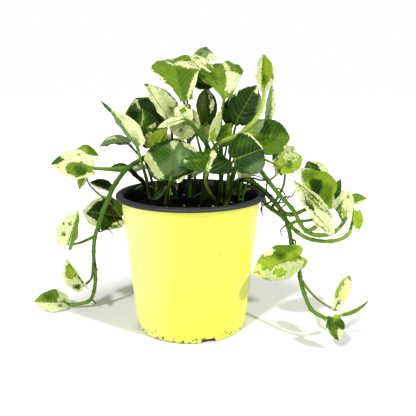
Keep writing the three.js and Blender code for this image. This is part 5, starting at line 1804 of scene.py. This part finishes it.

# %% [markdown]
# ## Table and light
#
# The photograph was taken in a white tent. A white world gives the even light from all round, and
# two broad suns, one over each shoulder of the camera, give the two soft shadows that cross on the
# table. Farther out the table has a painted glow of its own, which stands for the tent's brightly lit
# floor and clears the shadows there. Area lights would do the same, but a sun's shadow has the same
# softness and direction everywhere, so it is easier to match to the shadows in a photograph.

# %% Table
GLOW_CENTER = (0.016, 0, 0)
GLOW_START = 0.145
GLOW_FULL = 0.2
GLOW = 0.55
TABLE_HALF = 6
TABLE_DROP = 0.0004


def build_table_material():
    """Pale paper with a painted glow that grows with the distance from the pot. Sizes are in meters."""
    material, tree, shader = new_material("table", roughness=0.85, specular=0.1)
    place = object_place(tree)
    paper = mix_colors(tree, cloudy(tree, place, scale=6.0, detail=3.0),
                       (0.86, 0.86, 0.86, 1), (0.83, 0.83, 0.83, 1))
    away = add_node(tree, "ShaderNodeVectorMath", {0: place, 1: GLOW_CENTER},
                    operation="DISTANCE").outputs["Value"]
    # Painted light: the glow is emission on the paper, which whites out the table away from the pot.
    glow = remap(tree, away, start=GLOW_START, end=GLOW_FULL, high=GLOW)
    wire_up(tree, shader, Base_Color=paper, Emission_Color=gray_color(tree, glow))
    shader.inputs["Emission Strength"].default_value = 1.0
    return material


bm = bmesh.new()
bmesh.ops.create_grid(bm, x_segments=1, y_segments=1, size=TABLE_HALF)
table_mesh = bpy.data.meshes.new("table")
bm.to_mesh(table_mesh)
bm.free()
table_mesh.materials.append(build_table_material())
table = bpy.data.objects.new("table", table_mesh)
table.location.z = -TABLE_DROP
bpy.context.collection.objects.link(table)
print("table, meters across:", 2 * TABLE_HALF)

# %% Lights
TENT_LIGHT = 0.38

world = bpy.data.worlds.new("tent")
bpy.context.scene.world = world
world.use_nodes = True
tent = world.node_tree
seen = add_node(tent, "ShaderNodeLightPath").outputs["Is Camera Ray"]
strength = calculate(tent, "MULTIPLY_ADD", seen, 1.0 - TENT_LIGHT, TENT_LIGHT)
tent.nodes["Background"].inputs["Color"].default_value = (1, 1, 1, 1)
tent.links.new(strength, tent.nodes["Background"].inputs["Strength"])
bpy.context.scene.view_settings.view_transform = "Standard"


def add_sun(name, toward, strength, softness):
    """A sun that shines along `toward`; `softness` is the width of its disk in degrees."""
    data = bpy.data.lights.new(name, "SUN")
    data.energy = strength
    data.angle = math.radians(softness)
    sun = bpy.data.objects.new(name, data)
    sun.rotation_euler = Vector(toward).to_track_quat("-Z", "Y").to_euler()
    bpy.context.collection.objects.link(sun)


add_sun("left key", toward=(25, 44, -46), strength=2.1, softness=4)
add_sun("right key", toward=(-20, 17, -23), strength=2.2, softness=4)
print("suns:", sum(1 for light in bpy.data.lights if light.type == "SUN"))
